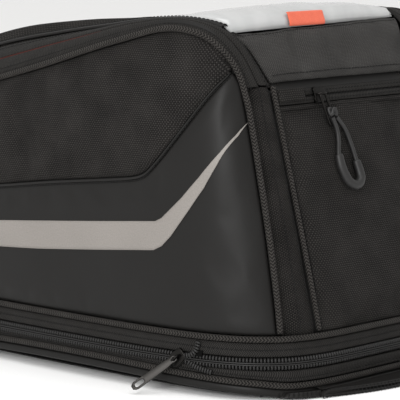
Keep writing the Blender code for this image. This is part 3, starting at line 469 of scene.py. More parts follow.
def ribbed(name, slot, colour, rib, twill, depth, coordinates="UV", **sockets):
    """Narrow-woven tape or webbing: ribs along its length crossed by a fine twill."""
    look = Look(name, slot, coordinates, **sockets)
    ribs = look.spread(look.wave(look.v, rib), 0.5, 1.0)
    slant = look.math("ADD", look.u, look.v)
    threads = look.spread(look.wave(slant, twill), 0.5, 1.0)
    height = look.math("MULTIPLY", ribs, threads)
    wear = look.spread(look.noise(14.0, 4.0), -0.25, 0.25)
    tone = look.math("ADD", height, wear)
    look.colour(tone, shade(colour, 0.5), shade(colour, 1.35))
    look.rough(tone, 0.85, 0.62)
    look.bump(height, depth)
    return look.material


def rope(name, slot, colour, pitch, depth, contrast=1.0, coordinates="UV", **sockets):
    """Narrow cloth in a herringbone of slanted threads (u runs along it, v across)."""
    look = Look(name, slot, coordinates, **sockets)
    slant = look.math("ADD", look.u, look.math("PINGPONG", look.v, 1.57))
    threads = look.spread(look.wave(slant, pitch), 0.5, 1.0)
    wear = look.spread(look.noise(9.0, 4.0), -0.25, 0.25)
    tone = look.math("ADD", threads, wear)
    look.colour(tone, shade(colour, 1 - 0.88 * contrast), shade(colour, 1 + 1.3 * contrast))
    look.rough(tone, 0.9, 0.66)
    look.bump(threads, depth)
    return look.material


def moulded(name, slot, colour, rough_low, rough_high, depth=0.00004, coordinates="UV", **sockets):
    """Moulded plastic, rubber or metal: faint unevenness, fine scratches and worn spots."""
    look = Look(name, slot, coordinates, **sockets)
    broad = look.noise(9.0, 4.0)
    fine = look.noise(0.5, 3.0)
    tone = look.blend(broad, 0.6, fine)
    look.colour(tone, shade(colour, 0.8), shade(colour, 1.2))
    look.rough(tone, rough_low, rough_high)
    look.bump(tone, depth)
    return look.material


BLACK = (0.0150, 0.0138, 0.0128)
NYLON = woven("nylon_weave", "woven_nylon", BLACK, 1.0, 1.3, 0.00032, Specular_IOR_Level=0.14)
NYLON_PLAIN = woven("nylon_weave_inside", "woven_nylon", BLACK, 1.0, 1.3, 0.00025, "Object",
                    Specular_IOR_Level=0.14)
SHOULDER = woven("shoulder_weave", "shoulder_fabric", (0.034, 0.0325, 0.031), 0.8, 0.8, 0.00022, "UV", 0.75,
                 Specular_IOR_Level=0.2)
BAND = woven("corner_band_weave", "woven_nylon", BLACK, 1.0, 0.8, 0.00030, "UV", 1.2, Specular_IOR_Level=0.12)
COATED = leather_cloth("coated_grain", "coated_fabric", (0.0092, 0.0087, 0.0082), 0.40, 0.50, 0.00006,
                       Specular_IOR_Level=0.17)
COATED_PLAIN = leather_cloth("coated_grain_inside", "coated_fabric", (0.012, 0.0115, 0.011), 0.6, 0.7, 0.00005,
                             "Object", Specular_IOR_Level=0.2)
TAPE = rope("zip_tape_weave", "coated_fabric", (0.0140, 0.0131, 0.0122), 1.5, 0.00022, 0.7,
            Specular_IOR_Level=0.14)
WELT = rope("welt_weave", "welt_fabric", (0.019, 0.0172, 0.0155), 2.1, 0.00060, Specular_IOR_Level=0.2)
WEBBING = ribbed("webbing_weave", "webbing", (0.016, 0.0155, 0.0148), 2.6, 1.2, 0.00022,
                 Specular_IOR_Level=0.2)
# Painted shadow: near-black, barely reflective cloth laid in the open expansion zip, where the gap is only shaded
PAINTED_GAP_SHADOW = leather_cloth("painted_gap_shadow", "coated_fabric", (0.003, 0.0029, 0.0028), 0.8, 0.9, 0.00004,
                         Specular_IOR_Level=0.05)
COIL = moulded("zip_coil_nylon", "zip_coil", (0.0110, 0.0106, 0.0102), 0.34, 0.50, Specular_IOR_Level=0.32)
COIL_PLAIN = moulded("zip_coil_inside", "zip_coil", (0.011, 0.0107, 0.0103), 0.4, 0.5, coordinates="Object")
THREAD = ribbed("sewing_thread", "welt_fabric", (0.0040, 0.0038, 0.0036), 0.3, 0.35, 0.00004,
                Specular_IOR_Level=0.3)
RUBBER = moulded("pull_rubber", "moulded_rubber", (0.0125, 0.0120, 0.0118), 0.42, 0.56, Specular_IOR_Level=0.4)
MAT = moulded("base_rubber", "moulded_rubber", (0.014, 0.014, 0.0135), 0.6, 0.75, 0.0001, "Object")
METAL = moulded("gunmetal", "dark_metal", (0.020, 0.019, 0.018), 0.28, 0.42, 0.00002, "Object", Metallic=1.0)
STEEL = moulded("magnet_plating", "magnet_steel", (0.40, 0.40, 0.39), 0.28, 0.45, 0.00002, "Object",
                Metallic=1.0)
BOARD = moulded("base_board_sheet", "board", (0.020, 0.020, 0.019), 0.5, 0.7, 0.00006, "Object")
RED_LINE = ribbed("red_edge_thread", "label_fabric", (0.085, 0.016, 0.012), 1.0, 0.8, 0.00006,
                  Specular_IOR_Level=0.1)


def reflective():
    """Glass-bead tape: pale grey with a fine sparkle and a faint hexagonal press mark."""
    look = Look("reflective_beads", "reflective_tape", Specular_IOR_Level=0.4)
    beads = look.cells(0.6, "F1")
    grain = look.noise(0.9, 3.0)
    broad = look.noise(40.0, 2.0)
    tone = look.blend(grain, 0.7, broad)
    look.colour(tone, (0.140, 0.128, 0.117), (0.290, 0.267, 0.246))
    look.rough(tone, 0.55, 0.38)
    look.bump(beads, 0.00006)
    return look.material


def vinyl():
    """Clear soft vinyl: milky, glossy and wavy, with faint pale streaks where it creases."""
    look = Look("clear_vinyl_sheet", "clear_vinyl", Specular_IOR_Level=0.7, Coat_Weight=0.6, Coat_Roughness=0.06,
                Alpha=0.86)
    waves = look.noise(26.0, 2.0)
    bent = look.math("ADD", look.u, look.math("MULTIPLY", waves, 70.0))
    streaks = look.math("POWER", look.wave(bent, 45.0), 2.0)
    haze = look.noise(50.0, 4.0)
    tone = look.blend(haze, 0.85, streaks)
    look.colour(tone, (0.40, 0.405, 0.405), (0.62, 0.622, 0.62))
    look.rough(haze, 0.08, 0.24)
    look.bump(waves, 0.0016)
    return look.material


def tag_weave():
    """The label's fine orange-red satin."""
    look = Look("label_weave", "label_fabric", Specular_IOR_Level=0.2, Sheen_Weight=0.2)
    threads = look.math("MULTIPLY", look.wave(look.u, 0.8), look.wave(look.v, 0.6))
    tone = look.spread(threads, 0.5, 0.8)
    look.colour(look.math("ADD", tone, look.spread(look.noise(5.0), -0.2, 0.2)), (0.52, 0.075, 0.038),
                (0.80, 0.165, 0.085))
    look.rough(tone, 0.75, 0.6)
    look.bump(tone, 0.00008)
    return look.material


REFLECTIVE = reflective()
VINYL = vinyl()
TAG = tag_weave()


# ---------------------------------------------------------------- meshes
def add_object(name, data):
    """A new object in the scene with this data."""
    made = bpy.data.objects.new(name, data)
    bpy.context.scene.collection.objects.link(made)
    return made


def finish_object(name, verts, faces, uvs, material):
    """A mesh object whose texture coordinates, one pair per vertex, are in millimetres."""
    mesh = bpy.data.meshes.new(name)
    mesh.from_pydata(np.asarray(verts).reshape(-1, 3).tolist(), [], faces)
    corners = np.empty(len(mesh.loops), int)
    mesh.loops.foreach_get("vertex_index", corners)
    layer = mesh.uv_layers.new(name="UVMap")
    layer.uv.foreach_set("vector", np.asarray(uvs, float).reshape(-1, 2)[corners].ravel())
    mesh.shade_smooth()
    mesh.materials.append(material)
    return add_object(name, mesh)


def face_outward(made):
    """Turns the faces of an open surface so that they look away from the middle of the bag."""
    middles = np.array([face.center for face in made.data.polygons]) - BAG_MIDDLE
    normals = np.array([face.normal for face in made.data.polygons])
    if (middles * normals).sum() < 0:
        made.data.flip_normals()


def grid_faces(rows, columns, closed=False):
    """The four-sided faces of a grid of points; closed joins its last column to its first."""
    row, column = np.meshgrid(np.arange(rows - 1), np.arange(columns if closed else columns - 1), indexing="ij")
    beside = (column + 1) % columns
    faces = np.stack([row * columns + column, row * columns + beside,
                      (row + 1) * columns + beside, (row + 1) * columns + column], axis=-1)
    return faces.reshape(-1, 4).tolist()


def grid_uv(grid):
    """Lengths along the middle row and the middle column, in millimetres."""
    rows, columns = grid.shape[:2]
    return np.stack(np.meshgrid(travel(grid[rows // 2]), travel(grid[:, columns // 2])), axis=-1) * 1000


def sheet(name, grid, material, thickness=0.0016, axes=None, closed=False, rounds=1):
    """A solid skin through a grid of points, thickened inward and rounded at its edges."""
    grid = np.asarray(grid, float)
    uvs = grid[..., list(axes)] * 1000 if axes else grid_uv(grid)
    made = finish_object(name, grid, grid_faces(*grid.shape[:2], closed), uvs, material)
    face_outward(made)
    solidify = made.modifiers.new("thickness", "SOLIDIFY")
    solidify.thickness = thickness
    solidify.offset = -1
    if rounds:
        subdivide = made.modifiers.new("rounding", "SUBSURF")
        subdivide.levels = rounds
        subdivide.render_levels = rounds
    return made


def path_frames(points, closed=False):
    """Normal and binormal at each point of a path, turning as little as possible."""
    ahead = np.roll(points, -1, axis=0) - np.roll(points, 1, axis=0)
    if not closed:
        ahead[0] = points[1] - points[0]
        ahead[-1] = points[-1] - points[-2]
    tangents = unit(ahead)
    normals = np.empty_like(tangents)
    start = np.array((0, 0, 1.0)) if abs(tangents[0][2]) < 0.9 else np.array((1.0, 0, 0))
    for index, tangent in enumerate(tangents):
        start = unit(start - tangent * start.dot(tangent))
        normals[index] = start
    return normals, np.cross(tangents, normals)


END_DOME = np.array((0.08, 0.7, 0.95))


def tube(name, points, radius, material, sides=12, closed=False):
    """A round tube along a path; its two ends are domed."""
    points = np.asarray(points, float)
    radii = np.broadcast_to(np.asarray(radius, float), len(points)).copy()
    if not closed:
        inward = unit(points[1] - points[0]) * radii[0], unit(points[-2] - points[-1]) * radii[-1]
        steps = (0.02 * np.arange(len(END_DOME)))[:, None]
        points = np.vstack([points[0] + inward[0] * steps, points[1:-1], (points[-1] + inward[1] * steps)[::-1]])
        radii = np.concatenate([radii[0] * END_DOME, radii[1:-1], radii[-1] * END_DOME[::-1]])
    normals, binormals = path_frames(points, closed)
    turn = np.arctan2((normals[0] * binormals[-1]).sum(), (normals[0] * normals[-1]).sum()) if closed else 0.0
    round_angle = np.linspace(0, 2 * np.pi, sides + 1)
    angle = (round_angle + np.linspace(0, turn, len(points))[:, None])[..., None]
    ring = np.cos(angle) * normals[:, None] + np.sin(angle) * binormals[:, None]
    grid = points[:, None] + ring * radii[:, None, None]
    travelled = travel(points)
    if closed:
        grid = np.vstack([grid, grid[:1]])
        travelled = np.append(travelled, travelled[-1] + np.linalg.norm(points[0] - points[-1]))
    uvs = np.stack(np.meshgrid(travelled, round_angle * radii.max(), indexing="ij"), axis=-1) * 1000
    made = finish_object(name, grid, grid_faces(len(grid), sides + 1), uvs, material)
    weld(made.data, closed)
    return made


def weld(mesh, closed=True):
    """Merges the doubled points of a mesh, closes its ends if it has any, and turns its faces outward."""
    work = bmesh.new()
    work.from_mesh(mesh)
    bmesh.ops.remove_doubles(work, verts=work.verts, dist=1e-7)
    if not closed:
        bmesh.ops.holes_fill(work, edges=[edge for edge in work.edges if edge.is_boundary], sides=0)
    bmesh.ops.recalc_face_normals(work, faces=work.faces)
    work.to_mesh(mesh)
    work.free()
    mesh.shade_smooth()


def capsules(name, centres, directions, normals, length, radius, material, sag=0.0, sides=6, flat=1.0):
    """Many small rounded bars, one at each centre, each lying along its own direction."""
    centres = np.asarray(centres, float)
    directions = unit(directions)
    normals = unit(normals - directions * (normals * directions).sum(axis=1, keepdims=True))
    sideways = np.cross(directions, normals)
    stations = np.array((-0.5, -0.46, -0.36, 0.0, 0.36, 0.46, 0.5))
    radii = np.array((0.05, 0.6, 0.95, 1.0, 0.95, 0.6, 0.05)) * radius
    angle = np.arange(sides) * 2 * np.pi / sides
    rings = len(stations)
    grid = (centres[:, None, None] + directions[:, None, None] * (stations * length)[None, :, None, None]
            + normals[:, None, None] * ((radii[:, None] * np.cos(angle) * flat)[None, ..., None]
                                        - (sag * (2 * stations) ** 2)[None, :, None, None])
            + sideways[:, None, None] * (radii[:, None] * np.sin(angle))[None, ..., None])
    offsets = np.arange(len(centres)) * rings * sides
    faces = (np.array(grid_faces(rings, sides, closed=True)) + offsets[:, None, None]).reshape(-1, 4).tolist()
    cap = np.arange(sides)
    for offset in offsets:
        faces.append((cap[::-1] + offset).tolist())
        faces.append((cap + (rings - 1) * sides + offset).tolist())
    along = np.broadcast_to((stations * length)[None, :, None], grid.shape[:3])
    around = np.broadcast_to((angle * radius)[None, None, :], grid.shape[:3])
    item = np.broadcast_to(np.arange(len(centres))[:, None, None] * 0.0037, grid.shape[:3])
    uvs = np.stack([along + item, around + item * 0.7], axis=-1) * 1000
    return finish_object(name, grid, faces, uvs, material)


def whip_stitches(name, edge, inset, length, sag, facing):
    """Upright stitches on the front edge of a layer of cloth, curved round it (facing -1) or away from it (1)."""
    even, ahead = spaced(edge, WHIP_PITCH)
    out = np.cross(ahead, (0, 0, 1.0))
    out = unit(out * -np.sign(out[:, 1:2]))
    upright = np.tile((0.10, 0, 1.0), (len(even), 1))
    return capsules(name, even - out * inset, upright, out * facing, length, WHIP_RADIUS, THREAD, sag)


def spaced(points, pitch, closed=False):
    """Points at an even pitch along a path, with the direction of travel at each."""
    points = np.asarray(points, float)
    if closed:
        points = np.vstack([points, points[:1]])
    count = max(2, int(round(length_of(points) / pitch)) + 1)
    even = resample(points, count)
    ahead = np.gradient(even, axis=0)
    if closed:
        even, ahead = even[:-1], ahead[:-1]
    return even, ahead


def rescaled(values, count):
    """Rows of values spread evenly over another number of rows."""
    return columns_at(np.linspace(0, 1, count), np.linspace(0, 1, len(values)), values)


class Sewing:
    """Collects the stitches of each body and makes them as one object."""

    def __init__(self):
        self.parts = {}

    def line(self, body, points, normals, pitch=STITCH_PITCH):
        """Stitches along a path; normals are the surface's own, one per path point."""
        even, ahead = spaced(points, pitch)
        self.parts.setdefault(body, []).append((even, ahead, rescaled(normals, len(even))))

    def on_wall(self, body, points, proud):
        """Stitches laid on the bag's wall, lifted by proud."""
        points = on_wall(points)
        normals = wall_normal(points)
        self.line(body, points + normals * proud, normals)

    def on_surface(self, body, points, surface, proud=0.0002):
        """Stitches laid on a finished surface."""
        self.line(body, *surface.lay(resample(points, max(8, int(length_of(points) / 0.002))), proud))

    def make(self):
        """Turns all the stitches collected so far into one object for each body."""
        for body, lines in self.parts.items():
            centres, ahead, outward = (np.vstack([line[index] for line in lines]) for index in range(3))
            put(capsules("stitching_" + body, centres, ahead, outward, STITCH_LENGTH, STITCH_RADIUS, THREAD,
                         STITCH_SAG), body)


SEWING = Sewing()


class Surface:
    """A finished open surface that other pieces can be laid on."""

    def __init__(self, grid):
        self.tree = BVHTree.FromPolygons(grid.reshape(-1, 3).tolist(), grid_faces(*grid.shape[:2]))

    def lay(self, points, proud=0.0):
        """The nearest points of the surface, lifted by proud, and the surface's normals there."""
        laid, normals = [], []
        for point in np.asarray(points, float).reshape(-1, 3):
            spot, normal, _, _ = self.tree.find_nearest(Vector(point))
            if normal.dot(Vector(point) - Vector(BAG_MIDDLE)) < 0:
                normal = -normal
            laid.append(spot + normal * proud)
            normals.append(normal)
        return np.array(laid).reshape(np.shape(points)), np.array(normals).reshape(np.shape(points))


def put(made, body, *nodes):
    """The piece rides on a body and stands for its CAD nodes, which are hidden."""
    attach(made, body)
    if nodes:
        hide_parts(*nodes)
    return made


# ---------------------------------------------------------------- camera and cord
CAMERA_AZIMUTH = math.radians(-47.0)
CAMERA_ELEVATION = math.radians(7.6)
CAMERA_SPOT = (-1.1531, -1.0857, 0.3111)
CAMERA_LENS = 209.25
CAMERA_SENSOR = 36.0


def add_camera():
    """The photographer's view: a long lens a little above the bag, from the left of its front."""
    back = Vector((math.sin(CAMERA_AZIMUTH) * math.cos(CAMERA_ELEVATION),
                   -math.cos(CAMERA_AZIMUTH) * math.cos(CAMERA_ELEVATION), math.sin(CAMERA_ELEVATION)))
    right = Vector((0, 0, 1)).cross(back).normalized()
    turn = Matrix((right, back.cross(right), back)).transposed().to_4x4()
    data = bpy.data.cameras.new("camera")
    data.sensor_width = CAMERA_SENSOR
    data.lens = CAMERA_LENS
    camera = add_object("camera", data)
    camera.matrix_world = Matrix.Translation(CAMERA_SPOT) @ turn
    bpy.context.scene.camera = camera


add_camera()

# The pull of the front pocket: two strands from the knot into a soft U-shaped grip
STRAND_START = np.array((-0.02482, -0.14958, 0.16875))
LEFT_STRAND = np.array([(-0.0232, -0.1508, 0.160), (-0.0238, -0.1525, 0.153), (-0.0262, -0.1545, 0.1462)])
RIGHT_STRAND = np.array([(-0.0150, -0.1505, 0.160), (-0.0122, -0.1535, 0.150), (-0.0110, -0.1560, 0.1412)])
GRIP = np.array([
    (-0.0264, -0.1548, 0.1456), (-0.0262, -0.1575, 0.1370), (-0.0225, -0.1600, 0.1285),
    (-0.0160, -0.1612, 0.1258), (-0.0105, -0.1600, 0.1300), (-0.0108, -0.1563, 0.1406)])
POCKET_SPOT = on_wall(wall_point(-0.0285, POCKET_ZIP_Z), PIN_HEIGHT)
LOOP_HANG = np.array(Vector((0.0047, -0.0053, -0.0200)).normalized())
LOOP_WIRE = 0.00085
LOOP_HALF_WIDTH = 0.0026
LOOP_LENGTH = 0.0210
KNOT_REACH = 0.0130


def place_at(origin, x_axis, y_axis):
    """A frame at origin whose X and Y axes point along the given perpendicular directions."""
    x_axis = Vector(x_axis).normalized()
    z_axis = x_axis.cross(Vector(y_axis)).normalized()
    turn = Matrix((x_axis, z_axis.cross(x_axis), z_axis)).transposed().to_4x4()
    return Matrix.Translation(Vector(origin)) @ turn


def pin_frame(spot, hang, rough_axis):
    """A pull's frame: the hinge axis square to the direction in which it hangs."""
    axis = Vector(rough_axis)
    axis = (axis - Vector(hang) * axis.dot(Vector(hang))).normalized()
    return place_at(spot, axis, -Vector(hang))


LOOP_FRAME = pin_frame(POCKET_SPOT, LOOP_HANG, (1, 0, 0))


def build_pocket_cord():
    """The pocket's pull: a cord loop through the wire bail, knotted below it, with a soft grip."""
    side = np.array((CORD_RADIUS + GAP, 0, 0))
    route = np.vstack([[STRAND_START - side], LEFT_STRAND[:2], GRIP, RIGHT_STRAND[1::-1], [STRAND_START + side]])
    points = smooth(route, 3)
    curve = bpy.data.curves.new("pull_cord", "CURVE")
    curve.dimensions = "3D"
    curve.bevel_depth = CORD_RADIUS
    curve.bevel_resolution = 3
    curve.use_fill_caps = True
    spline = curve.splines.new("POLY")
    spline.points.add(len(points) - 1)
    for node, point in zip(spline.points, points):
        node.co = (*point, 1)
    curve.materials.append(RUBBER)
    cord = add_object("pull_cord", curve)
    put(cord, "pocket_cord", "pull_cord_left", "pull_cord_right")
    fine = smooth(GRIP, 14)
    share = np.linspace(0, 1, len(fine))
    swell = GRIP_RADIUS + GRIP_SWELL * np.sin(np.pi * share) ** 0.5
    grip = put(tube("soft_grip", fine, swell, RUBBER, sides=18), "pocket_cord", "pull_grip")
    outward = np.array(LOOP_FRAME.to_3x3() @ Vector((0, 0, 1)))
    middle = POCKET_SPOT + LOOP_HANG * KNOT_REACH + outward * (KNOT_RADIUS + LOOP_WIRE + GAP)
    knot = put(knot_piece(middle), "pocket_bail", "pull_knot")


def knot_piece(middle):
    """A lark's head: two strand bights crossing round the loop's foot, as one wrapped lump."""
    turns = np.linspace(0, 2 * np.pi, 61)[:-1]
    across = np.array((0.682, -0.731, 0.0))
    out = np.cross(across, LOOP_HANG)
    path = (middle + across * (0.0021 * np.cos(turns))[:, None] + LOOP_HANG * (0.0020 * np.sin(2 * turns))[:, None]
            + out * (0.0011 * np.sin(turns + 0.7))[:, None])
    return tube("pull_knot_wrap", path, KNOT_CORD_RADIUS, RUBBER, sides=12, closed=True)


build_pocket_cord()


# ---------------------------------------------------------------- sewn panels
CLOTH_QUALITY = 4
CLOTH_MASS = 0.3
CLOTH_BENDING = 3.0
CLOTH_DAMPING = 4.0
CLOTH_FRAMES = 20


def pillow(grid, edge, tuck, crown):
    """The grid's points moved along the wall's normal: tucked in at the border and crowned inside it."""
    rows, columns = grid.shape[:2]
    across = np.linalg.norm(np.diff(grid, axis=1), axis=2)
    up = np.linalg.norm(np.diff(grid, axis=0), axis=2)
    u = np.concatenate([np.zeros((rows, 1)), np.cumsum(across, axis=1)], axis=1)
    v = np.concatenate([np.zeros((1, columns)), np.cumsum(up, axis=0)], axis=0)
    u_side = np.minimum(u, u[:, -1:] - u)
    v_side = np.minimum(v, v[-1:] - v)
    inset = np.minimum(1, np.minimum(u_side, v_side) / edge)
    rise = np.sqrt(1 - (1 - inset) ** 2)
    broad = np.sqrt(np.clip(4 * u * (u[:, -1:] - u) / np.maximum(u[:, -1:], 1e-6) ** 2, 0, 1)
                    * np.clip(4 * v * (v[-1:] - v) / np.maximum(v[-1:], 1e-6) ** 2, 0, 1))
    return -tuck + tuck * rise + crown * rise * broad


def border_of(rows, columns):
    """The indices of a grid's border points."""
    index = np.arange(rows * columns).reshape(rows, columns)
    return np.unique(np.concatenate([index[0], index[-1], index[:, 0], index[:, -1]])).tolist()


def sewn_cloth(grid, pressure, cap, slack=0.012):
    """The grid after a short cloth simulation: its border is sewn down and the padding presses outward."""
    rows, columns = grid.shape[:2]
    made = finish_object("cloth_trial", grid, grid_faces(rows, columns), np.zeros((rows * columns, 2)), NYLON)
    face_outward(made)
    made.vertex_groups.new(name="sewn").add(border_of(rows, columns), 1.0, "REPLACE")
    cloth = made.modifiers.new("cloth", "CLOTH")
    settings = cloth.settings
    settings.quality = CLOTH_QUALITY
    settings.mass = CLOTH_MASS
    settings.vertex_group_mass = "sewn"
    settings.use_pressure = True
    settings.uniform_pressure_force = pressure
    settings.effector_weights.gravity = 0.0
    settings.shrink_min = -slack
    settings.bending_stiffness = CLOTH_BENDING
    settings.air_damping = CLOTH_DAMPING
    cloth.point_cache.frame_start = 1
    cloth.point_cache.frame_end = CLOTH_FRAMES
    for moment in range(1, CLOTH_FRAMES + 1):
        bpy.context.scene.frame_set(moment)
    graph = bpy.context.evaluated_depsgraph_get()
    result = np.empty(rows * columns * 3, np.float32)
    made.evaluated_get(graph).data.vertices.foreach_get("co", result)
    bpy.data.objects.remove(made, do_unlink=True)
    bpy.context.scene.frame_set(1)
    moved = result.reshape(grid.shape).astype(float) - grid
    size = np.maximum(np.linalg.norm(moved, axis=-1, keepdims=True), 1e-9)
    return grid + moved * (cap * np.tanh(size / cap) / size)


SIDE_RIM = on_wall(smooth(RIM))
SIDE_LID_EDGE = smooth(LID_EDGE)
SEAM_LINE = on_wall(smooth(SIDE_SEAM))


def rows_between(low, high, rows):
    """A grid of points whose rows run evenly from the low line to the high one."""
    share = np.linspace(0, 1, rows)[:, None, None]
    return low[None] * (1 - share) + high[None] * share


def build_side_panels():
    """The coated lower panel and the woven upper panel of each side, padded and sewn down all round."""
    foot = wall_side(RIM_X + 0.0010, CLOTH_FOOT, 110)
    seam = resample(SEAM_LINE, 110)
    front = resample(wall_line(-RIM_X - 0.0010, -RIM_TOP_X - 0.0010, CLOTH_FOOT, 0.2000, steps=60), 36)
    front[0], front[-1] = foot[0], seam[0]
    rear = on_wall(foot[-1] + (seam[-1] - foot[-1]) * np.linspace(0, 1, 36)[:, None])
    lower = on_wall(coons(foot, seam, front, rear))
    lower = on_wall(lower, pillow(lower, 0.007, 0.0009, 0.0008) + ripple(lower, 0.055, 0.0007)
                    + ripple(lower, 0.018, 0.00018, 3.0))
    lower = sewn_cloth(lower, 1.0, 0.0003, 0.002)
    rim = SIDE_RIM[(SIDE_RIM[:, 1] > -0.1285) & (SIDE_RIM[:, 1] < 0.168)]
    low_line = resample(SEAM_LINE, 90)
    high_line = shifted(resample(rim, 90), low_line, 0.0010)
    upper = on_wall(rows_between(low_line, high_line, 26))
    upper = on_wall(upper, pillow(upper, 0.007, 0.0009, 0.0018) + ripple(upper, 0.045, 0.0010, 5.0)
                    + ripple(upper, 0.016, 0.00025, 9.0))
    upper = sewn_cloth(upper, 1.5, 0.0020)
    for side, grid in both_sides(lower):
        made = put(sheet("lower_side_" + side, grid, COATED, PADDED_CLOTH, (1, 2)), "main", "side_lower_" + side)
    for side, grid in both_sides(upper):
        made = put(sheet("upper_side_" + side, grid, NYLON, PADDED_CLOTH, (1, 2)), "main", "side_upper_" + side)
    return Surface(lower)


def strip_on(surface, centre, below, above, profile):
    """A narrow strip laid on a surface along a line: profile gives (share across, height) pairs."""
    grid = []
    for share, height in profile:
        laid, normals = surface.lay(centre + (0, 0, -below + (below + above) * share), 0.0001)
        grid.append(laid + normals * height)
    return np.array(grid)


def build_side_seam(lower):
    """The woven side ends in a folded hem on the coated panel, stitched with one row."""
    line = resample(SEAM_LINE[2:], 260)
    fold = [(0.0, -0.0005), (0.08, 0.0004), (0.4, 0.0007), (0.7, 0.0010), (0.94, 0.0005), (1.0, -0.0008)]
    grid = strip_on(lower, line, 0.0018, 0.0010, fold)
    for side, points in both_sides(grid):
        put(sheet("side_hem_" + side, points, COATED, TURNED_CLOTH, (1, 2)), "main")
    seam = strip_on(lower, line, 0.0024, 0.0, [(0.0, 0.0004)])[0]
    normals = lower.lay(seam)[1]
    SEWING.line("main", seam, normals, HEM_STITCH_PITCH)
    SEWING.line("main", mirrored(seam), mirrored(normals), HEM_STITCH_PITCH)


def build_stripe(lower):
    """The reflective stripe welded to the coated panel, ending in a point at the front corner."""
    stations = np.linspace(0, len(STRIPE_LOW) - 1, 170)
    knots = np.arange(len(STRIPE_LOW))
    flat = rows_between(*(columns_at(stations, knots, edge) for edge in (STRIPE_LOW, STRIPE_HIGH)), 9)
    grid = lower.lay(side_points(flat[..., 0], flat[..., 1]), 0.00055)[0]
    for side, points in both_sides(grid):
        put(sheet("reflective_stripe_" + side, points, REFLECTIVE, 0.0004, (1, 2), rounds=0), "main",
            "side_stripe_" + side)


LOWER_SIDE = build_side_panels()
build_side_seam(LOWER_SIDE)
build_stripe(LOWER_SIDE)


def front_grid(low_x, high_x, z_low, z_high, rows):
    """Wall points at the front: each column goes from one x at the foot to another at the top."""
    share = np.linspace(0, 1, rows)[:, None]
    x = low_x[None] * (1 - share) + high_x[None] * share
    z = np.broadcast_to(z_low + (z_high - z_low) * share, x.shape)
    return wall_point(x, z)


def build_corner_bands():
    """The woven bands beside the pocket, dished next to the rim's piping."""
    low = np.linspace(-RIM_X + 0.0018, -POCKET_X - 0.0016, 22)
    high = np.linspace(-RIM_TOP_X + 0.0018, -POCKET_X - 0.0016, 22)
    grid = front_grid(low, high, CLOTH_FOOT, 0.1908, 100)
    across = np.linspace(0, 1, 22)[None]
    up = np.linspace(0, 1, 100)[:, None]
    groove = -0.0019 * (1 - ramp(across, 0.10, 0.42)) + 0.0010 * ramp(across, 0.05, 0.0)
    swell = 0.0007 * np.sin(np.pi * ramp(across, 0.3, 1.0))
    seam_dip = -0.0012 * (1 - ramp(1 - across, 0.0, 0.12))
    ends = -0.0010 * (1 - ramp(np.minimum(up, 1 - up), 0.0, 0.03))
    grid = on_wall(grid, groove + swell + seam_dip + ends + ripple(grid, 0.030, 0.0006, 2.0))
    for side, points in both_sides(grid):
        made = put(sheet("corner_band_cloth_" + side, points, BAND, QUILTED_CLOTH, (0, 2)), "main",
                   "corner_band_" + side)
    for column in (10, 18):
        for _, points in both_sides(grid):
            SEWING.on_surface("main", points[:, column], Surface(points), 0.0003)


def build_pocket():
    """The front pocket's soft face, stitched down all round, with a folded hem at its top."""
    columns = np.linspace(-POCKET_HALF, POCKET_HALF, 76)
    grid = front_grid(columns, columns, CLOTH_FOOT, POCKET_TOP, 72)
    rise = pillow(grid, 0.010, 0.0010, 0.0030)
    rise += ripple(grid, 0.050, 0.0013, 7.0) + ripple(grid, 0.020, 0.0004, 1.0)
    grid = sewn_cloth(on_wall(grid, rise), 1.5, 0.0022)
    made = put(sheet("pocket_face", grid, NYLON, 0.0016, (0, 2)), "main", "front_pocket")
    surface = Surface(grid)
    top = wall_point(np.linspace(-0.066, 0.066, 60), np.full(60, POCKET_TOP - 0.0016))
    SEWING.on_surface("main", top, surface, 0.0003)
    edge = wall_line(-0.0655, -0.0655, PANEL_FOOT + 0.002, POCKET_TOP - 0.002, steps=60)
    for _, line in both_sides(edge):
        SEWING.on_surface("main", line, surface, 0.0003)
    hem = front_grid(columns, columns, POCKET_TOP - 0.0034, POCKET_TOP + 0.0006, 7)
    laid, normals = surface.lay(hem, 0.0)
    height = np.array((-0.0004, 0.0005, 0.0009, 0.0010, 0.0009, 0.0006, -0.0006))[:, None, None]
    put(sheet("pocket_hem", hem + (laid - hem) * 0.5 + normals * height, NYLON, 0.0009, (0, 2)), "main")


def build_pocket_zip():
    """The pocket's zip, its coil turned inward, and the garage its slider parks in."""
    columns = np.linspace(-POCKET_HALF, POCKET_HALF, 60)
    share = np.linspace(0, 1, 8)[:, None]
    for end, low, high, near, row in (("lower", POCKET_TOP + 0.0004, 0.1821, share, 3),
                                      ("upper", 0.1826, 0.1872, 1 - share, 4)):
        grid = front_grid(columns, columns, low, high, len(share))
        grid = on_wall(grid, -0.0002 + 0.0005 * np.sin(np.pi * near) - 0.0006 * ramp(near, 0.8, 1.0))
        put(sheet("pocket_tape_" + end, grid, TAPE, BROAD_TAPE_THICKNESS, (0, 2)), "main", "pocket_zip_" + end)
        SEWING.on_wall("main", grid[row], 0.0005)
    centre = wall_point(np.linspace(-0.060, 0.060, 200), np.full(200, POCKET_ZIP_Z))
    add_teeth("pocket_teeth", on_wall(centre, -0.0022), wall_normal(centre), 0.0015, 0.0026, 0.00055, "main",
              "pocket_coil")
    x = np.linspace(-0.0668, -0.0408, 18)
    grid = front_grid(x, x, 0.1792, 0.1880, 14)
    grid = on_wall(grid, 0.0022 + pillow(grid, 0.0015, 0.0016, 0.0) + ripple(grid, 0.01, 0.0003))
    put(sheet("pocket_garage", grid, NYLON, 0.0012, (0, 2)), "main", "zip_garage")


def add_teeth(name, line, normals, pitch, length, radius, body, *nodes, closed=False, material=COIL):
    """Coil loops across a zip's centre line."""
    even, ahead = spaced(line, pitch, closed)
    if closed:
        normals = np.vstack([normals, normals[:1]])
    outward = rescaled(normals, len(even) + closed)[:len(even)]
    across = np.cross(outward, unit(ahead))
    made = capsules(name, even, across, outward, length, radius, material, sag=radius * 0.9, sides=8, flat=1.3)
    return put(made, body, *nodes)


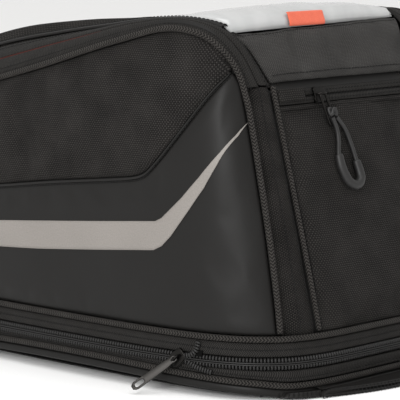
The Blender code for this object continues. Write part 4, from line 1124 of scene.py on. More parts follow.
build_corner_bands()
build_pocket()
build_pocket_zip()


# ---------------------------------------------------------------- seam allowances and piping
def backing(line, half, depth):
    """A strip of cloth behind a seam, half wide to each side of it and depth below the wall."""
    line = on_wall(line)
    ahead = np.gradient(line, axis=0)
    across = unit(np.cross(wall_normal(line), ahead))
    return np.array([on_wall(line + across * half * share, -depth) for share in np.linspace(-1, 1, 7)])


def build_seam_allowances():
    """The turned-in edges of the panels behind the piping: they close the seams from the inside."""
    rim = np.vstack([wall_line(-RIM_X, -RIM_TOP_X, PANEL_FOOT, 0.186, steps=40), SIDE_RIM[4:]])
    seams = [("rim", resample(whole_way(rim), 400))]
    for name, left in (("pocket_", wall_line(-POCKET_X, -POCKET_X, 0.040, 0.188, steps=60)),
                       ("side_", resample(SEAM_LINE, 160)),
                       ("rear_", wall_line(-0.0935, -0.0925, 0.040, 0.1600, 1, 60))):
        seams += [(name + side, line) for side, line in both_sides(left)]
    for name, line in seams:
        put(sheet("seam_allowance_" + name, backing(line, 0.0055, 0.0026), COATED_PLAIN, TURNED_CLOTH, rounds=0),
            "main")


def build_welts():
    """Piping in the seams."""
    ring = outline(WALL_FOOT, 0.0006, 700)
    put(tube("body_piping", ring, WELT_RADIUS, WELT, closed=True), "main", "body_welt")
    ring = arched_ring(LOWER_WELT - 0.0002, 0.0006, 700, BASE_RISE + 0.0006)
    put(tube("base_piping", ring, WELT_RADIUS, WELT, closed=True), "base", "base_welt")
    low = on_wall(wall_line(-RIM_X, -RIM_TOP_X, PANEL_FOOT + 0.0012, 0.178, steps=60), 0.0006)
    left = np.vstack([low, on_wall(SIDE_RIM[3:], 0.0006)])
    put(tube("rim_piping", resample(whole_way(left), 900), WELT_RADIUS, WELT), "main", "rim_welt")
    rear = on_wall(wall_line(-0.0938, -0.0925, PANEL_FOOT + 0.0008, 0.1590, 1, 120), 0.0004)
    for side, line in both_sides(rear):
        put(tube("rear_piping_" + side, line, THIN_WELT_RADIUS, WELT), "main")
    front = on_wall(wall_line(-POCKET_X, -POCKET_X, PANEL_FOOT + 0.0008, 0.1900, steps=120), 0.0006)
    for side, line in both_sides(front):
        put(tube("pocket_piping_" + side, line, THIN_WELT_RADIUS, WELT), "main", "pocket_welt_" + side)


build_seam_allowances()
build_welts()


# ---------------------------------------------------------------- main zip
def strip_between(edge_a, edge_b, shares, heights):
    """Rows between two matched rails, lifted square to the strip between them."""
    ahead = np.gradient(edge_a + edge_b, axis=0)
    normal = unit(np.cross(ahead, edge_b - edge_a))
    normal[((edge_a - LID_MIDDLE) * normal).sum(axis=1) < 0] *= -1
    rows = [edge_a * (1 - share) + edge_b * share + normal * height for share, height in zip(shares, heights)]
    return np.array(rows), normal


ZIP_COUNT = 420
ZIP_RIM = resample(whole_way(SIDE_RIM), ZIP_COUNT)
ZIP_EDGE = resample(whole_way(SIDE_LID_EDGE), ZIP_COUNT)


def zip_bulge(points):
    """How far the closed zip's middle stands out of a straight strip."""
    return np.interp(points[:, 1], (-0.135, -0.110, -0.050, 0.020, 0.070, 0.150),
                     (0.0004, 0.0028, 0.0048, 0.0042, 0.0026, 0.0006))


def build_main_zip():
    """The two tapes of the lid's zip, one on the body and one on the lid, with their coil rows below."""
    near = np.array((0.05, 0.10, 0.16, 0.19, 0.22, 0.28, 0.36, 0.43, 0.47, 0.4875, 0.490))
    lift = np.array((-0.0012, 0.0003, 0.0008, 0.0004, 0.0007, 0.0009, 0.0010, 0.0009, 0.0007, 0.0002, -0.0010))
    bulge = zip_bulge((ZIP_RIM + ZIP_EDGE) / 2)
    grid, normal = strip_between(ZIP_RIM, ZIP_EDGE, near, lift)
    puff = normal * (bulge * (1 - (1 - 2 * near[:, None]) ** 2))[..., None]
    grid += puff
    put(sheet("rim_side_tape", grid, TAPE, TAPE_THICKNESS), "main", "main_zip_tape")
    SEWING.line("main", grid[3] + normal * 0.0003, normal)
    far, _ = strip_between(ZIP_RIM, ZIP_EDGE, 1 - near[::-1], lift[::-1])
    far += puff[::-1]
    far[..., 2] += np.maximum(0, 0.1914 - far[..., 2]) * (far[..., 1] < -0.10)
    put(sheet("lid_side_tape", far, TAPE, TAPE_THICKNESS), "lid", "lid_zip_tape")
    SEWING.line("lid", far[7] + normal * 0.0003, normal)
    for name, share, body, node in (("rim_teeth", 0.455, "main", "main_coil"),
                                    ("lid_teeth", 0.545, "lid", "lid_coil")):
        line = strip_between(ZIP_RIM, ZIP_EDGE, [share], [-0.0028])[0][0] + normal * bulge[:, None]
        add_teeth(name, line[9:-9], normal[9:-9], 0.0020, 0.0030, 0.0007, body, node, material=COIL_PLAIN)
    rear = slice(int(ZIP_COUNT * 0.16), int(ZIP_COUNT * 0.84))
    line = (strip_between(ZIP_RIM, ZIP_EDGE, [0.505], [-0.0001])[0][0] + normal * bulge[:, None])[rear]
    put(tube("zip_edge_thread", line, 0.00045, RED_LINE, sides=8), "lid")


# ---------------------------------------------------------------- lid
def lid_grid(stations, columns, inset, proud=0.0):
    """Rows across the lid at the given stations of its edge, domed and set proud."""
    left = curve_at(LID_EDGE, stations)
    ahead = curve_at(LID_EDGE, stations + 0.02) - curve_at(LID_EDGE, stations - 0.02)
    normal = np.stack([np.zeros(len(stations)), -ahead[:, 2], ahead[:, 1]], axis=1)
    normal[:, 2] = np.maximum(normal[:, 2], 1e-6)
    half = np.minimum(left[:, 0] + inset, -0.0005)
    x = -half[:, None] * np.linspace(-1, 1, columns)
    dome = 1 - np.clip((x / np.minimum(left[:, :1], -0.001)) ** 2, 0, 1)
    bulge = LID_CROWN * ramp(stations, 2.4, 3.6) * (1 - ramp(stations, 8.5, 12.0))
    height = bulge[:, None] * dome + proud
    base = np.stack([x, np.broadcast_to(left[:, 1:2], x.shape), np.broadcast_to(left[:, 2:3], x.shape)], axis=-1)
    return base + unit(normal)[:, None] * height[..., None]


def stations_between(first, last, pitch):
    """Stations of the lid's edge an even pitch apart."""
    fine = np.linspace(first, last, 400)
    travelled = travel(curve_at(LID_EDGE, fine))
    count = max(3, int(travelled[-1] / pitch) + 1)
    return np.interp(np.linspace(0, travelled[-1], count), travelled, fine)


def raised(grid, height):
    """A grid moved along its own surface normals, upward."""
    along = np.gradient(grid, axis=1)
    up = np.gradient(grid, axis=0)
    normal = np.cross(along, up)
    normal /= np.maximum(np.linalg.norm(normal, axis=-1, keepdims=True), 1e-12)
    normal[((grid - LID_MIDDLE) * normal).sum(axis=-1) < 0] *= -1
    return grid + normal * np.asarray(height)[..., None]


def build_lid():
    """The woven shoulder over the front pocket's zip, and the panel under the window."""
    stations = stations_between(0.10, WINDOW_START + 0.02, 0.0024)
    grid = lid_grid(stations, 64, 0.0012)
    across = np.clip(1 - (grid[..., 0] / 0.083) ** 2, 0, 1)
    late = ramp(stations, 1.2, WINDOW_START)[:, None]
    grid[..., 1] -= SHOULDER_BOW * across * late
    grid[..., 2] += SHOULDER_TILT * (grid[..., 0] / 0.083) * late
    lip = SHOULDER_LIP * (1 - ramp(stations, 0.35, 0.95))[:, None] * np.clip(1 - (grid[..., 0] / 0.070) ** 6, 0, 1)
    grid = raised(grid, pillow(grid, 0.006, 0.0010, 0.0012) + ripple(grid, 0.040, 0.0012, 4.0) + lip)
    grid = sewn_cloth(grid, 1.4, 0.0014)
    made = put(sheet("shoulder_cloth", grid, SHOULDER, QUILTED_CLOTH, (0, 2)), "lid", "shoulder_panel")
    surface = Surface(grid)
    for row in (2, len(grid) - 3):
        SEWING.on_surface("lid", grid[row][2:-2], surface)
    stations = stations_between(WINDOW_START + 0.05, 12.93, 0.0036)
    grid = lid_grid(stations, 56, 0.0012, -0.0004)
    grid = raised(grid, pillow(grid, 0.006, 0.0010, 0.0004))
    made = put(sheet("lid_cloth", grid, NYLON, PADDED_CLOTH, (0, 1)), "lid", "lid_panel")


def build_lid_allowance():
    """The lid's seam allowance, which joins its cloth to the zip tape from below, all the way round."""
    near = np.array((0.93, 1.02, 1.16, 1.30, 1.45))
    grid, _ = strip_between(ZIP_RIM, ZIP_EDGE, near, np.full(len(near), -0.0026))
    put(sheet("lid_allowance", grid, NYLON, TURNED_CLOTH, (0, 1)), "lid")


WINDOW_CEILING = CAD_BOX[1][2] + 0.0040


def build_window():
    """The soft vinyl window, drawn down along its sides by a narrow binding, standing up at its front."""
    stations = stations_between(WINDOW_START - 0.03, WINDOW_END - 0.20, 0.0030)
    grid = lid_grid(stations, 56, 0.0058)
    share = np.linspace(-1, 1, grid.shape[1])[None]
    run = (stations - stations[0])[:, None]
    front = np.clip(1 - share ** 2, 0, 1)
    puff = WINDOW_PUFF * ramp(run, 0.0, 0.30) * (1 - ramp(run, 0.5, 2.2)) * front ** 0.35
    grid[..., 1] -= WINDOW_BOW * front * (1 - ramp(run, 0.0, 0.9))
    grid[..., 2] += WINDOW_TILT * share * (1 - ramp(run, 0.0, 0.9))
    height = -0.0002 + 0.0018 * ramp(run, 0.0, 0.3) + puff
    flat = ramp(run, 0.0, 0.25)
    grid = raised(grid, height + (ripple(grid, 0.026, 0.0010, 6.0) + ripple(grid, 0.011, 0.0004, 8.0)) * flat)
    grid[..., 2] = np.minimum(grid[..., 2], WINDOW_CEILING)
    put(sheet("map_window_sheet", grid, VINYL, WINDOW_THICKNESS, (0, 1), rounds=0), "lid", "map_window")
    # Each row: inset from the lid's edge, share of the run back at the rear, height
    profile = ((0.0012, 0.00, 0.0000), (0.0013, 0.00, 0.0013), (0.0020, 0.02, 0.0021), (0.0040, 0.04, 0.0024),
               (0.0062, 0.06, 0.0021), (0.0069, 0.07, 0.0014), (0.0070, 0.08, 0.0004))
    first, last = WINDOW_START + 0.15, WINDOW_END + 0.02
    stations = np.linspace(first, last, 90)
    rails = np.array([lid_grid(stations, 2, inset, height)[:, 0] for inset, _, height in profile])
    for side, grid in both_sides(rails):
        put(sheet("window_edging_" + side, grid, COATED, EDGING_CLOTH, (0, 1)), "lid")
        SEWING.line("lid", grid[3] + (0, 0, 0.0003), np.tile((0, 0, 1.0), (len(stations), 1)))
    rear = [lid_grid(np.array([last - 3.0 * back]), 60, 0.0014, height)[0] for _, back, height in profile]
    put(sheet("window_edging_rear", np.array(rear), COATED, EDGING_CLOTH, (0, 1)), "lid", "window_binding")


def build_label():
    """A folded woven tag sewn into the seam at the window's front edge."""
    path = np.array([(-0.1160, 0.2248), (-0.1164, 0.2262), (-0.1160, 0.2280), (-0.1150, 0.2305), (-0.1142, 0.2328),
                     (-0.1136, 0.2338), (-0.1128, 0.2340), (-0.1124, 0.2332)])
    grid = drawn_along(np.linspace(LABEL_LEFT, LABEL_RIGHT, 14), smooth(path, 3))
    put(sheet("seam_tag", grid, TAG, 0.0009), "lid", "label_tag")


build_main_zip()
build_lid()
build_lid_allowance()
build_window()
build_label()


# ---------------------------------------------------------------- base band
def ring_band(name, profile, material, thickness, body, *nodes):
    """A band round the plan outline; profile gives (proud, height, arch) from bottom to top."""
    grid = [arched_ring(z, proud, 420, lift) for proud, z, lift in profile]
    return put(sheet(name, np.array(grid), material, thickness, closed=True), body, *nodes)


def build_base_band():
    """The skirt, the two zip tapes and the coil chain that run round the foot of the bag."""
    rise = BASE_RISE
    skirt = [(-0.0034, 0.0006, rise), (-0.0010, 0.0008, rise), (0.0001, 0.0016, rise), (0.0002, 0.0040, rise),
             (-0.0004, 0.0062, rise)]
    ring_band("skirt_cloth", skirt, COATED, 0.0012, "base", "base_skirt")
    lower = [(-0.0006, 0.0105, rise), (0.0003, 0.0110, rise), (0.0005, 0.0124, rise * 0.9),
             (0.0001, 0.0132, rise * 0.8), (0.0005, 0.0142, rise * 0.7), (0.0006, 0.0162, rise * 0.4),
             (0.0004, 0.0176, rise * 0.3), (-0.0006, 0.0183, rise * 0.2)]
    ring_band("lower_tape", lower, TAPE, TAPE_THICKNESS, "base", "expansion_tape_lower")
    upper = [(-0.0006, 0.0266, 0), (0.0004, 0.0272, 0), (0.0006, 0.0286, 0), (0.0005, 0.0304, 0),
             (0.0001, 0.0312, 0), (0.0005, 0.0322, 0), (0.0004, 0.0348, 0), (-0.0004, 0.0358, 0)]
    ring_band("upper_tape", upper, TAPE, TAPE_THICKNESS, "main", "expansion_tape_upper")
    for body, z, lift in (("base", 0.0132, rise * 0.8), ("main", 0.0312, 0.0)):
        ring = arched_ring(z, 0.0, 1200, lift)
        SEWING.on_wall(body, np.vstack([ring, ring[:1]]), 0.0005)
    for end, sign, body in (("upper", 1, "main"), ("lower", -1, "base")):
        ring = outline(COIL_MIDDLE + sign * COIL_ROW_OFFSET, 0.0, 1400)
        add_teeth("coil_" + end, on_wall(ring, 0.0002), wall_normal(ring), COIL_PITCH, COIL_BAR_LENGTH,
                  COIL_BAR_RADIUS, body, "expansion_coil_" + end, closed=True)
        ring = outline(COIL_MIDDLE + sign * COIL_CORD_OFFSET, 0.0010, 900)
        put(tube("coil_cord_" + end, ring, COIL_CORD_RADIUS, COIL, sides=6, closed=True), body)


def build_gusset():
    """The gusset of the expansion, folded away inside the zip between base and body."""
    depths = (0.0080, 0.0096, 0.0080, 0.0096, 0.0080, 0.0096, 0.0080)
    heights = np.linspace(0.0048, 0.0355, len(depths))
    grid = np.array([outline(z, -depth, 240) for z, depth in zip(heights, depths)])
    made = sheet("gusset_cloth", grid, COATED, 0.0010, closed=True)
    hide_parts("expansion_gusset")
    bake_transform(made)


def build_mat():
    """The rubber underside with raised grip bars."""
    ring = outline(0.0, -0.0010, 200) * (BASE_NARROW, 1, 1)
    profile = ((1.0, 0.0012), (0.997, 0.0006), (0.99, 0.0005), (0.8, 0.0005), (0.55, 0.0005), (0.3, 0.0005),
               (0.05, 0.0005))
    low = np.array([ring * (scale, scale, 1) + (0, 0, height) for scale, height in profile])
    put(sheet("mat_skin", low[::-1], MAT, 0.0010, (0, 1), closed=True, rounds=0), "base", "base_mat")
    bars = np.array([(x + (MAT_STAGGER if row % 2 else -MAT_STAGGER), y, 0.0007)
                     for row, y in enumerate(np.arange(-0.150, 0.151, 0.0125))
                     for x in np.arange(-0.084, 0.085, 0.024)])
    slant = np.tile((1.0, 0.35, 0), (len(bars), 1))
    down = np.tile((0, 0, -1.0), (len(bars), 1))
    put(capsules("mat_grip", bars, slant, down, 0.017, 0.0014, MAT, flat=0.4), "base")


def carried_over():
    """Finishes of the CAD nodes that stay as they are."""
    nodes = frame["nodes"]
    finishes = {"base_board": BOARD, "base_magnets": STEEL, "floor_lining": COATED_PLAIN, "front_wall": NYLON_PLAIN,
                "flap_magnet": STEEL}
    for name, material in finishes.items():
        nodes[name].data.materials.clear()
        nodes[name].data.materials.append(material)


# ---------------------------------------------------------------- magnet flap
def build_flap():
    """The padded magnet flap under the front, its edge oversewn, its front edge a broad arc."""
    across = np.sin(np.linspace(-np.pi / 2, np.pi / 2, 60))
    x = across * FLAP_HALF_WIDTH
    edge_y = np.minimum(FLAP_HINGE_Y - 0.0030, FLAP_TIP + FLAP_SWEEP * np.abs(x / FLAP_REACH) ** 2.2)
    rows = []
    for run in np.linspace(0, 1, 30):
        y = FLAP_HINGE_Y - 0.0006 + (edge_y - FLAP_HINGE_Y + 0.0006) * run
        end = math.sqrt(max(0.0, 1 - max(0.0, (run - 0.90) / 0.10) ** 2))
        thick = (0.0006 + 0.0021 * np.clip(1 - np.abs(across) ** 14, 0, 1) ** 0.5) * (0.30 + 0.70 * end)
        upper = np.column_stack([x, y, FLAP_MIDDLE + thick])
        lower = np.column_stack([x, y, FLAP_MIDDLE - thick])
        rows.append(np.vstack([upper, lower[::-1]]))
    grid = np.array(rows)
    made = finish_object("flap_pad", grid, grid_faces(*grid.shape[:2], closed=True), grid[..., :2] * 1000, COATED)
    weld(made.data, closed=False)
    put(made, "flap", "flap_bottom", "flap_top")
    edge = np.column_stack([x, edge_y, np.full(len(x), FLAP_MIDDLE)])
    put(whip_stitches("flap_oversewing", edge, 0.0008, 0.0056, 0.0012, -1), "flap")
    span = np.linspace(-FLAP_HALF_WIDTH + 0.001, FLAP_HALF_WIDTH - 0.001, 40)
    path = [(y, 0.0052 + 0.0004 * math.sin(index))
            for index, y in enumerate(np.linspace(-0.1755, FLAP_HINGE_Y - 0.0016, 8))]
    strap = sheet("flap_root", drawn_along(span, path), COATED, 0.0009, (0, 1))
    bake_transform(strap)


def build_apron():
    """The oversewn bottom layer where it runs from the front corners to the ends of the magnet flap."""
    x = np.linspace(0.040, 0.0955, 44)
    inner = wall_point(x, 0.0)[:, 1]
    outer = np.interp(x, (0.040, 0.0748, 0.0860, 0.0927, 0.0958), (-0.1812, -0.1812, -0.1768, -0.1709, -0.1620))
    outer = np.minimum(outer, inner - 0.0006)
    grid = np.array([np.column_stack([-x, (inner + 0.0015) * (1 - share) + outer * share,
                                      np.full(len(x), 0.0010 + 0.0006 * ramp(share, 0.8, 1.0))])
                     for share in (0.0, 0.3, 0.6, 0.85, 0.96, 1.0)])
    for side, points in both_sides(grid):
        put(sheet("bottom_apron_" + side, points, COATED, 0.0036, (0, 1)), "base")
        put(whip_stitches("apron_oversewing_" + side, points[-1] + (0, 0, 0.0015), 0.0, 0.0040, 0.0010, 1), "base")


def build_splayed_coil():
    """The expansion zip opens at its slider: both coil rows splay away from it, above and below a near-black sheet
    of painted shadow where the open gap falls in shade.
    """
    upper = ((-0.1120, 0.0243), (-0.1165, 0.0256), (-0.1200, 0.0290), (-0.1215, 0.0340))
    lower = ((-0.1150, 0.0205), (-0.1190, 0.0186), (-0.1240, 0.0172), (-0.1300, 0.0160))
    gap = ((-0.1170, 0.0215), (-0.1195, 0.0225), (-0.1210, 0.0250), (-0.1225, 0.0290))
    for name, line, body in (("upper", upper, "main"), ("lower", lower, "base")):
        points = side_points(*smooth(line, 10).T)
        normals = wall_normal(points)
        add_teeth("splayed_coil_" + name, points + normals * 0.0016, normals, 0.0019, 0.0040, 0.00085, body)
    # The near-black sheet of painted shadow between the splayed rows
    points = side_points(*smooth(gap, 10).T)
    rows = [on_wall(points + np.array((0, 0.0028 * share, 0)), 0.0011) for share in np.linspace(-1, 1, 5)]
    put(sheet("coil_gap_painted_shadow", np.array(rows), PAINTED_GAP_SHADOW, 0.0005, (1, 2), rounds=0), "main")


def build_fold():
    """The fabric hinge of the lid above the front pocket."""
    heights = np.linspace(0.1868, 0.1935, 9)
    depths = np.interp(heights, (0.1868, 0.1895, 0.1935), (-0.1358, -0.1336, -0.1310))
    grid = drawn_along(np.linspace(-0.0665, 0.0665, 60), zip(depths, heights))
    made = sheet("lid_fold_strip", grid, COATED_PLAIN, 0.0009, (0, 2))
    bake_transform(made)


build_base_band()
build_gusset()
build_mat()
carried_over()
build_flap()
build_apron()
build_splayed_coil()
build_fold()


# ---------------------------------------------------------------- metal fittings
def final_mesh(shape):
    """An object's mesh as its modifiers and curve settings leave it."""
    return bpy.data.meshes.new_from_object(shape.evaluated_get(bpy.context.evaluated_depsgraph_get()))


def plate(name, loops, thickness, place, edge):
    """A flat metal outline with holes and rounded edges, lying in its own XY plane, middle at z = 0."""
    curve = bpy.data.curves.new(name, "CURVE")
    curve.dimensions = "2D"
    curve.fill_mode = "BOTH"
    curve.extrude = thickness / 2 - edge
    curve.bevel_depth = edge
    curve.bevel_resolution = 2
    curve.offset = -edge
    for loop in loops:
        spline = curve.splines.new("POLY")
        spline.points.add(len(loop) - 1)
        for node, point in zip(spline.points, loop):
            node.co = (point[0], point[1], 0, 1)
        spline.use_cyclic_u = True
    shape = add_object(name + "_outline", curve)
    mesh = final_mesh(shape)
    bpy.data.objects.remove(shape, do_unlink=True)
    mesh.transform(place)
    mesh.name = name
    mesh.materials.clear()
    mesh.materials.append(METAL)
    weld(mesh)
    mesh.set_sharp_from_angle(angle=math.radians(35))
    return add_object(name, mesh)


def rounded(half_x, half_y, radius, middle_y, steps=6):
    """A rectangle with rounded corners, centred on x = 0."""
    points = []
    for quarter, (sign_x, sign_y) in enumerate(((1, 1), (-1, 1), (-1, -1), (1, -1))):
        for step in range(steps + 1):
            angle = math.pi / 2 * (quarter + step / steps)
            points.append((sign_x * (half_x - radius) + radius * math.cos(angle),
                           middle_y + sign_y * (half_y - radius) + radius * math.sin(angle)))
    return points


def circle(radius, middle_y, steps=16):
    """A circle centred on x = 0."""
    angles = [2 * math.pi * step / steps for step in range(steps)]
    return [(radius * math.cos(angle), middle_y + radius * math.sin(angle)) for angle in angles]


def join(pieces, name):
    """Several meshes as one object."""
    work = bmesh.new()
    for piece in pieces:
        work.from_mesh(final_mesh(piece))
    mesh = bpy.data.meshes.new(name)
    work.to_mesh(mesh)
    work.free()
    mesh.materials.append(pieces[0].data.materials[0])
    mesh.set_sharp_from_angle(angle=math.radians(40))
    for piece in pieces:
        bpy.data.objects.remove(piece, do_unlink=True)
    return add_object(name, mesh)


def slider(name, place, body, node, along_x=False):
    """A zip slider: shield-shaped plate with turned-down flanges, and the bridge that holds its pull."""
    shield = [(-0.0044, 0.0042), (-0.0046, 0.0010), (-0.0036, -0.0050), (-0.0022, -0.0062), (0.0022, -0.0062),
              (0.0036, -0.0050), (0.0046, 0.0010), (0.0044, 0.0042), (0.0030, 0.0052), (0.0010, 0.0044),
              (-0.0010, 0.0044), (-0.0030, 0.0052)]
    shield = [tuple(p) for p in resample(smooth(np.array(shield + shield[:1]), 3), 48)[:-1]]
    if along_x:
        place = place @ Matrix.Rotation(math.pi / 2, 4, "Z")
    plate_place = place @ Matrix.Translation((0, 0, -0.0031))
    pieces = [plate(name + "_top", [shield], 0.0014, plate_place, 0.0004)]
    for side in (-1, 1):
        rail = [place @ Vector((side * x, y, -0.0042)) for x, y in
                ((0.0042, 0.0040), (0.0044, 0.0010), (0.0036, -0.0046), (0.0022, -0.0058))]
        pieces.append(tube(name + "_flange", smooth(np.array(rail), 5), 0.0007, METAL, sides=8))
    bridge = [(0, 0.0036, -0.0026), (0, 0.0030, -0.0002), (0, 0.0016, 0.0011), (0, -0.0008, 0.0013),
              (0, -0.0026, 0.0006), (0, -0.0034, -0.0026)]
    bridge = np.array([place @ Vector(point) for point in smooth(np.array(bridge), 5)])
    pieces.append(tube(name + "_bridge", bridge, 0.00075, METAL, sides=10))
    return put(join(pieces, name), body, node)


def tab(name, place, length, body, node):
    """A flat metal pull: a round eye, a neck and a blade with a long slot."""
    side = [(0.0016, 0.0016), (0.0022, -0.0002), (0.0020, -0.0024), (0.0024, -0.0052), (0.0026, -0.0090),
            (0.0028, -length + 0.0062), (0.0026, -length + 0.0022), (0.0012, -length)]
    side = [tuple(p) for p in smooth(np.array(side), 4)]
    blade = side + [(-x, y) for x, y in side[::-1]]
    slot = rounded(0.0014, 0.0034, 0.0013, -length + 0.0056)
    eye = circle(0.00105, -0.0002)
    return put(plate(name, [blade, slot, eye], 0.0013, place, 0.0003), body, node)


EXPANSION_SPOT = on_wall(np.array((-0.122, -0.106, COIL_MIDDLE)), PIN_HEIGHT)
EXPANSION_PULL = Vector((-0.58, 0.61, -0.60)).normalized()
REAR_SLIDER_X = 0.0160


def build_sliders():
    """Every zip slider with its pull, and the wire loop of the pocket's."""
    outward = Vector(wall_normal(EXPANSION_SPOT))
    pin_axis = EXPANSION_PULL.cross(outward).normalized()
    slider("expansion_runner_body", place_at(EXPANSION_SPOT, pin_axis, outward.cross(pin_axis)), "expansion_runner",
           "expansion_slider")
    tab("expansion_tab_blade", pin_frame(EXPANSION_SPOT, EXPANSION_PULL, pin_axis), EXPANSION_TAB_LENGTH,
        "expansion_tab", "expansion_pull")
    rim, edge = SIDE_RIM[-1], SIDE_LID_EDGE[-1]
    up = Vector(edge - rim).normalized()
    outward = up.cross(Vector((1, 0, 0)))
    for side, sign in (("left", -1), ("right", 1)):
        middle = Vector((rim + edge) / 2) + outward * (PIN_HEIGHT + 0.0004)
        place = place_at((sign * REAR_SLIDER_X, middle.y, middle.z), (-1, 0, 0), up)
        slider("rear_slider_" + side, place, "rear_runner_" + side, "main_slider_" + side)
        tab("rear_blade_" + side, place, REAR_TAB_LENGTH, "rear_tab_" + side, "main_pull_" + side)
    up_face = Vector((0, FRONT_LEAN, 1)).normalized()
    slider("pocket_runner_body", place_at(POCKET_SPOT, (1, 0, 0), up_face), "pocket_runner", "pocket_slider",
           along_x=True)
    loop = rounded(LOOP_HALF_WIDTH, LOOP_LENGTH / 2, 0.0012, -LOOP_LENGTH / 2)
    points = np.array([LOOP_FRAME @ Vector((x, y, 0)) for x, y in loop])
    points = resample(np.vstack([points, points[:1]]), 90)[:-1]
    put(tube("pocket_wire_loop", points, LOOP_WIRE, METAL, sides=10, closed=True), "pocket_bail", "pocket_loop")


# ---------------------------------------------------------------- rear of the bag
RING_X = 0.062
RING_Z = 0.066
RING_OFF_WALL = 0.0044
RING_WIRE = 0.0015
TAB_WIDTH = 0.022
HANDLE_HALF = 0.062
HANDLE_Z = 0.128
HANDLE_BOW = 0.024


def build_rear():
    """The padded rear panel, and the two strap rings held by folded webbing."""
    columns = np.linspace(-0.0925, 0.0925, 90)
    share = np.linspace(0, 1, 60)[:, None]
    x = columns[None] * (1 - share * 0.010)
    grid = wall_point(x, np.broadcast_to(PANEL_FOOT - 0.0006 + (0.1598 - PANEL_FOOT) * share, x.shape), 1)
    grid = on_wall(grid, pillow(grid, 0.009, 0.0010, 0.0012) + ripple(grid, 0.045, 0.0008, 11.0))
    grid = sewn_cloth(grid, 1.3, 0.0014)
    put(sheet("rear_cloth", grid, NYLON, QUILTED_CLOTH, (0, 2)), "main", "rear_panel")
    for side, sign in (("left", -1), ("right", 1)):
        centre = wall_point(sign * RING_X, RING_Z, 1) + (0, RING_OFF_WALL, 0)
        half_bar, depth = TAB_WIDTH / 2 + 0.0030, 0.0155
        angle = np.linspace(0, np.pi, 40)
        arc = np.column_stack([half_bar * np.cos(angle), np.zeros(40), -depth * np.sin(angle)])
        ring = resample(np.vstack([arc, arc[:1]]), 110)[:-1] + centre
        put(tube("d_ring_" + side, ring, RING_WIRE, METAL, sides=12, closed=True), "ring_" + side,
            "strap_ring_" + side)
        fold = [(-0.0030, 0.0185), (-0.0031, 0.0080), (-0.0031, 0.0004), (-0.0022, -0.0022), (0.0, -0.0031),
                (0.0022, -0.0022), (0.0030, 0.0000), (0.0024, 0.0026), (0.0002, 0.0070), (-0.0016, 0.0120),
                (-0.0018, 0.0185)]
        strap = drawn_along(np.linspace(-TAB_WIDTH / 2, TAB_WIDTH / 2, 12), smooth(fold, 5)) + centre
        put(sheet("ring_strap_" + side, strap, WEBBING, 0.0010, rounds=0), "main", "ring_tab_" + side)
        for height in (0.0095, 0.0150):
            line = np.column_stack([np.linspace(-0.009, 0.009, 8), np.full(8, -0.0006), np.full(8, height)]) + centre
            SEWING.line("main", line, np.tile((0, 1.0, 0), (8, 1)))


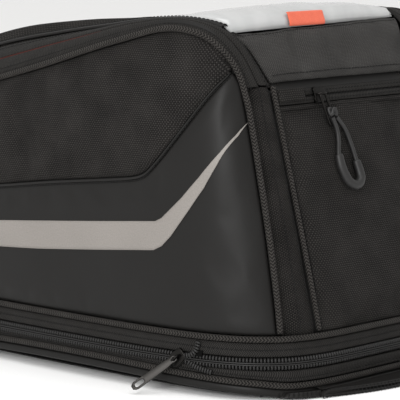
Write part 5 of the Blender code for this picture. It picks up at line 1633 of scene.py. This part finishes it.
def build_handle():
    """A webbing handle with a rolled grip, its flat ends sewn to the rear panel with crossed boxes."""
    share = np.linspace(-1, 1, 90)
    curve = 0.5 + 0.5 * np.cos(np.pi * share)
    wall = wall_point(HANDLE_HALF * share, np.full(90, HANDLE_Z), 1)
    middle = wall.copy()
    middle[:, 1] += 0.0020 + HANDLE_BOW * curve ** 0.8 + 0.0028 * curve
    grip = 1 - ramp(np.abs(share), 0.46, 0.60)
    half_height = 0.0125 - 0.0035 * grip
    half_thick = 0.0009 + 0.0036 * grip
    angle = np.linspace(0, 2 * np.pi, 29)
    power = 2 / (6 - 3.2 * grip)
    cos, sin = np.cos(angle), np.sin(angle)
    out = np.cross(unit(np.gradient(middle, axis=0)), (0, 0, -1.0))
    out[out[:, 1] < 0] *= -1
    wide = np.sign(sin)[None] * np.abs(sin)[None] ** power[:, None] * half_height[:, None]
    deep = np.sign(cos)[None] * np.abs(cos)[None] ** power[:, None] * half_thick[:, None]
    grid = middle[:, None] + out[:, None] * deep[..., None] + np.array((0, 0, 1.0)) * wide[..., None]
    uvs = np.stack(np.meshgrid(travel(middle), angle / np.pi * 0.0125, indexing="ij"), axis=-1) * 1000
    made = finish_object("handle_webbing", grid, grid_faces(*grid.shape[:2]), uvs, WEBBING)
    weld(made.data, closed=False)
    put(made, "main", "carry_handle")
    for sign in (-1, 1):
        for x_low, z_low, x_high, z_high in ((0.047, -0.009, 0.047, 0.009), (0.060, -0.009, 0.060, 0.009),
                                             (0.047, -0.009, 0.060, 0.009), (0.047, 0.009, 0.060, -0.009)):
            line = wall_point(np.linspace(x_low, x_high, 10) * sign, HANDLE_Z + np.linspace(z_low, z_high, 10), 1)
            line[:, 1] += np.interp(np.abs(line[:, 0]), (0.045, 0.062), (0.0052, 0.0032))
            SEWING.line("main", line, np.tile((0, 1.0, 0), (10, 1)))


build_sliders()
build_rear()
build_handle()
SEWING.make()


# ---------------------------------------------------------------- floor and light
def build_stage():
    """A pale floor out to the horizon and an even white sky."""
    mesh = bpy.data.meshes.new("floor")
    mesh.from_pydata([(-14, -6, 0), (14, -6, 0), (14, 22, 0), (-14, 22, 0)], [], [(0, 1, 2, 3)])
    look = Look("studio_floor", "", "Object", Specular_IOR_Level=0.1)
    look.colour(look.noise(900.0), (0.985, 0.985, 0.98), (1.0, 1.0, 1.0))
    look.rough(look.noise(300.0), 0.85, 0.95)
    mesh.materials.append(look.material)
    floor = add_object("floor", mesh)
    world = bpy.data.worlds.new("studio")
    world.use_nodes = True
    background = world.node_tree.nodes["Background"]
    background.inputs["Color"].default_value = (1.0, 0.995, 0.985, 1.0)
    background.inputs["Strength"].default_value = 0.82
    bpy.context.scene.world = world


def add_softbox(name, spot, aim, size, power):
    """A square area light of this size in metres and power in watts, turned to face a point."""
    data = bpy.data.lights.new(name, "AREA")
    data.shape = "SQUARE"
    data.size = size
    data.energy = power
    lamp = add_object(name, data)
    lamp.location = spot
    lamp.rotation_euler = (Vector(aim) - Vector(spot)).to_track_quat("-Z", "Y").to_euler()


build_stage()
add_softbox("key", (-2.1, -0.75, 0.85), (0, -0.05, 0.10), 0.8, 30.0)
add_softbox("top", (-0.3, -0.5, 1.9), (0, 0, 0.1), 1.4, 14.0)
bpy.context.scene.view_settings.view_transform = "Standard"
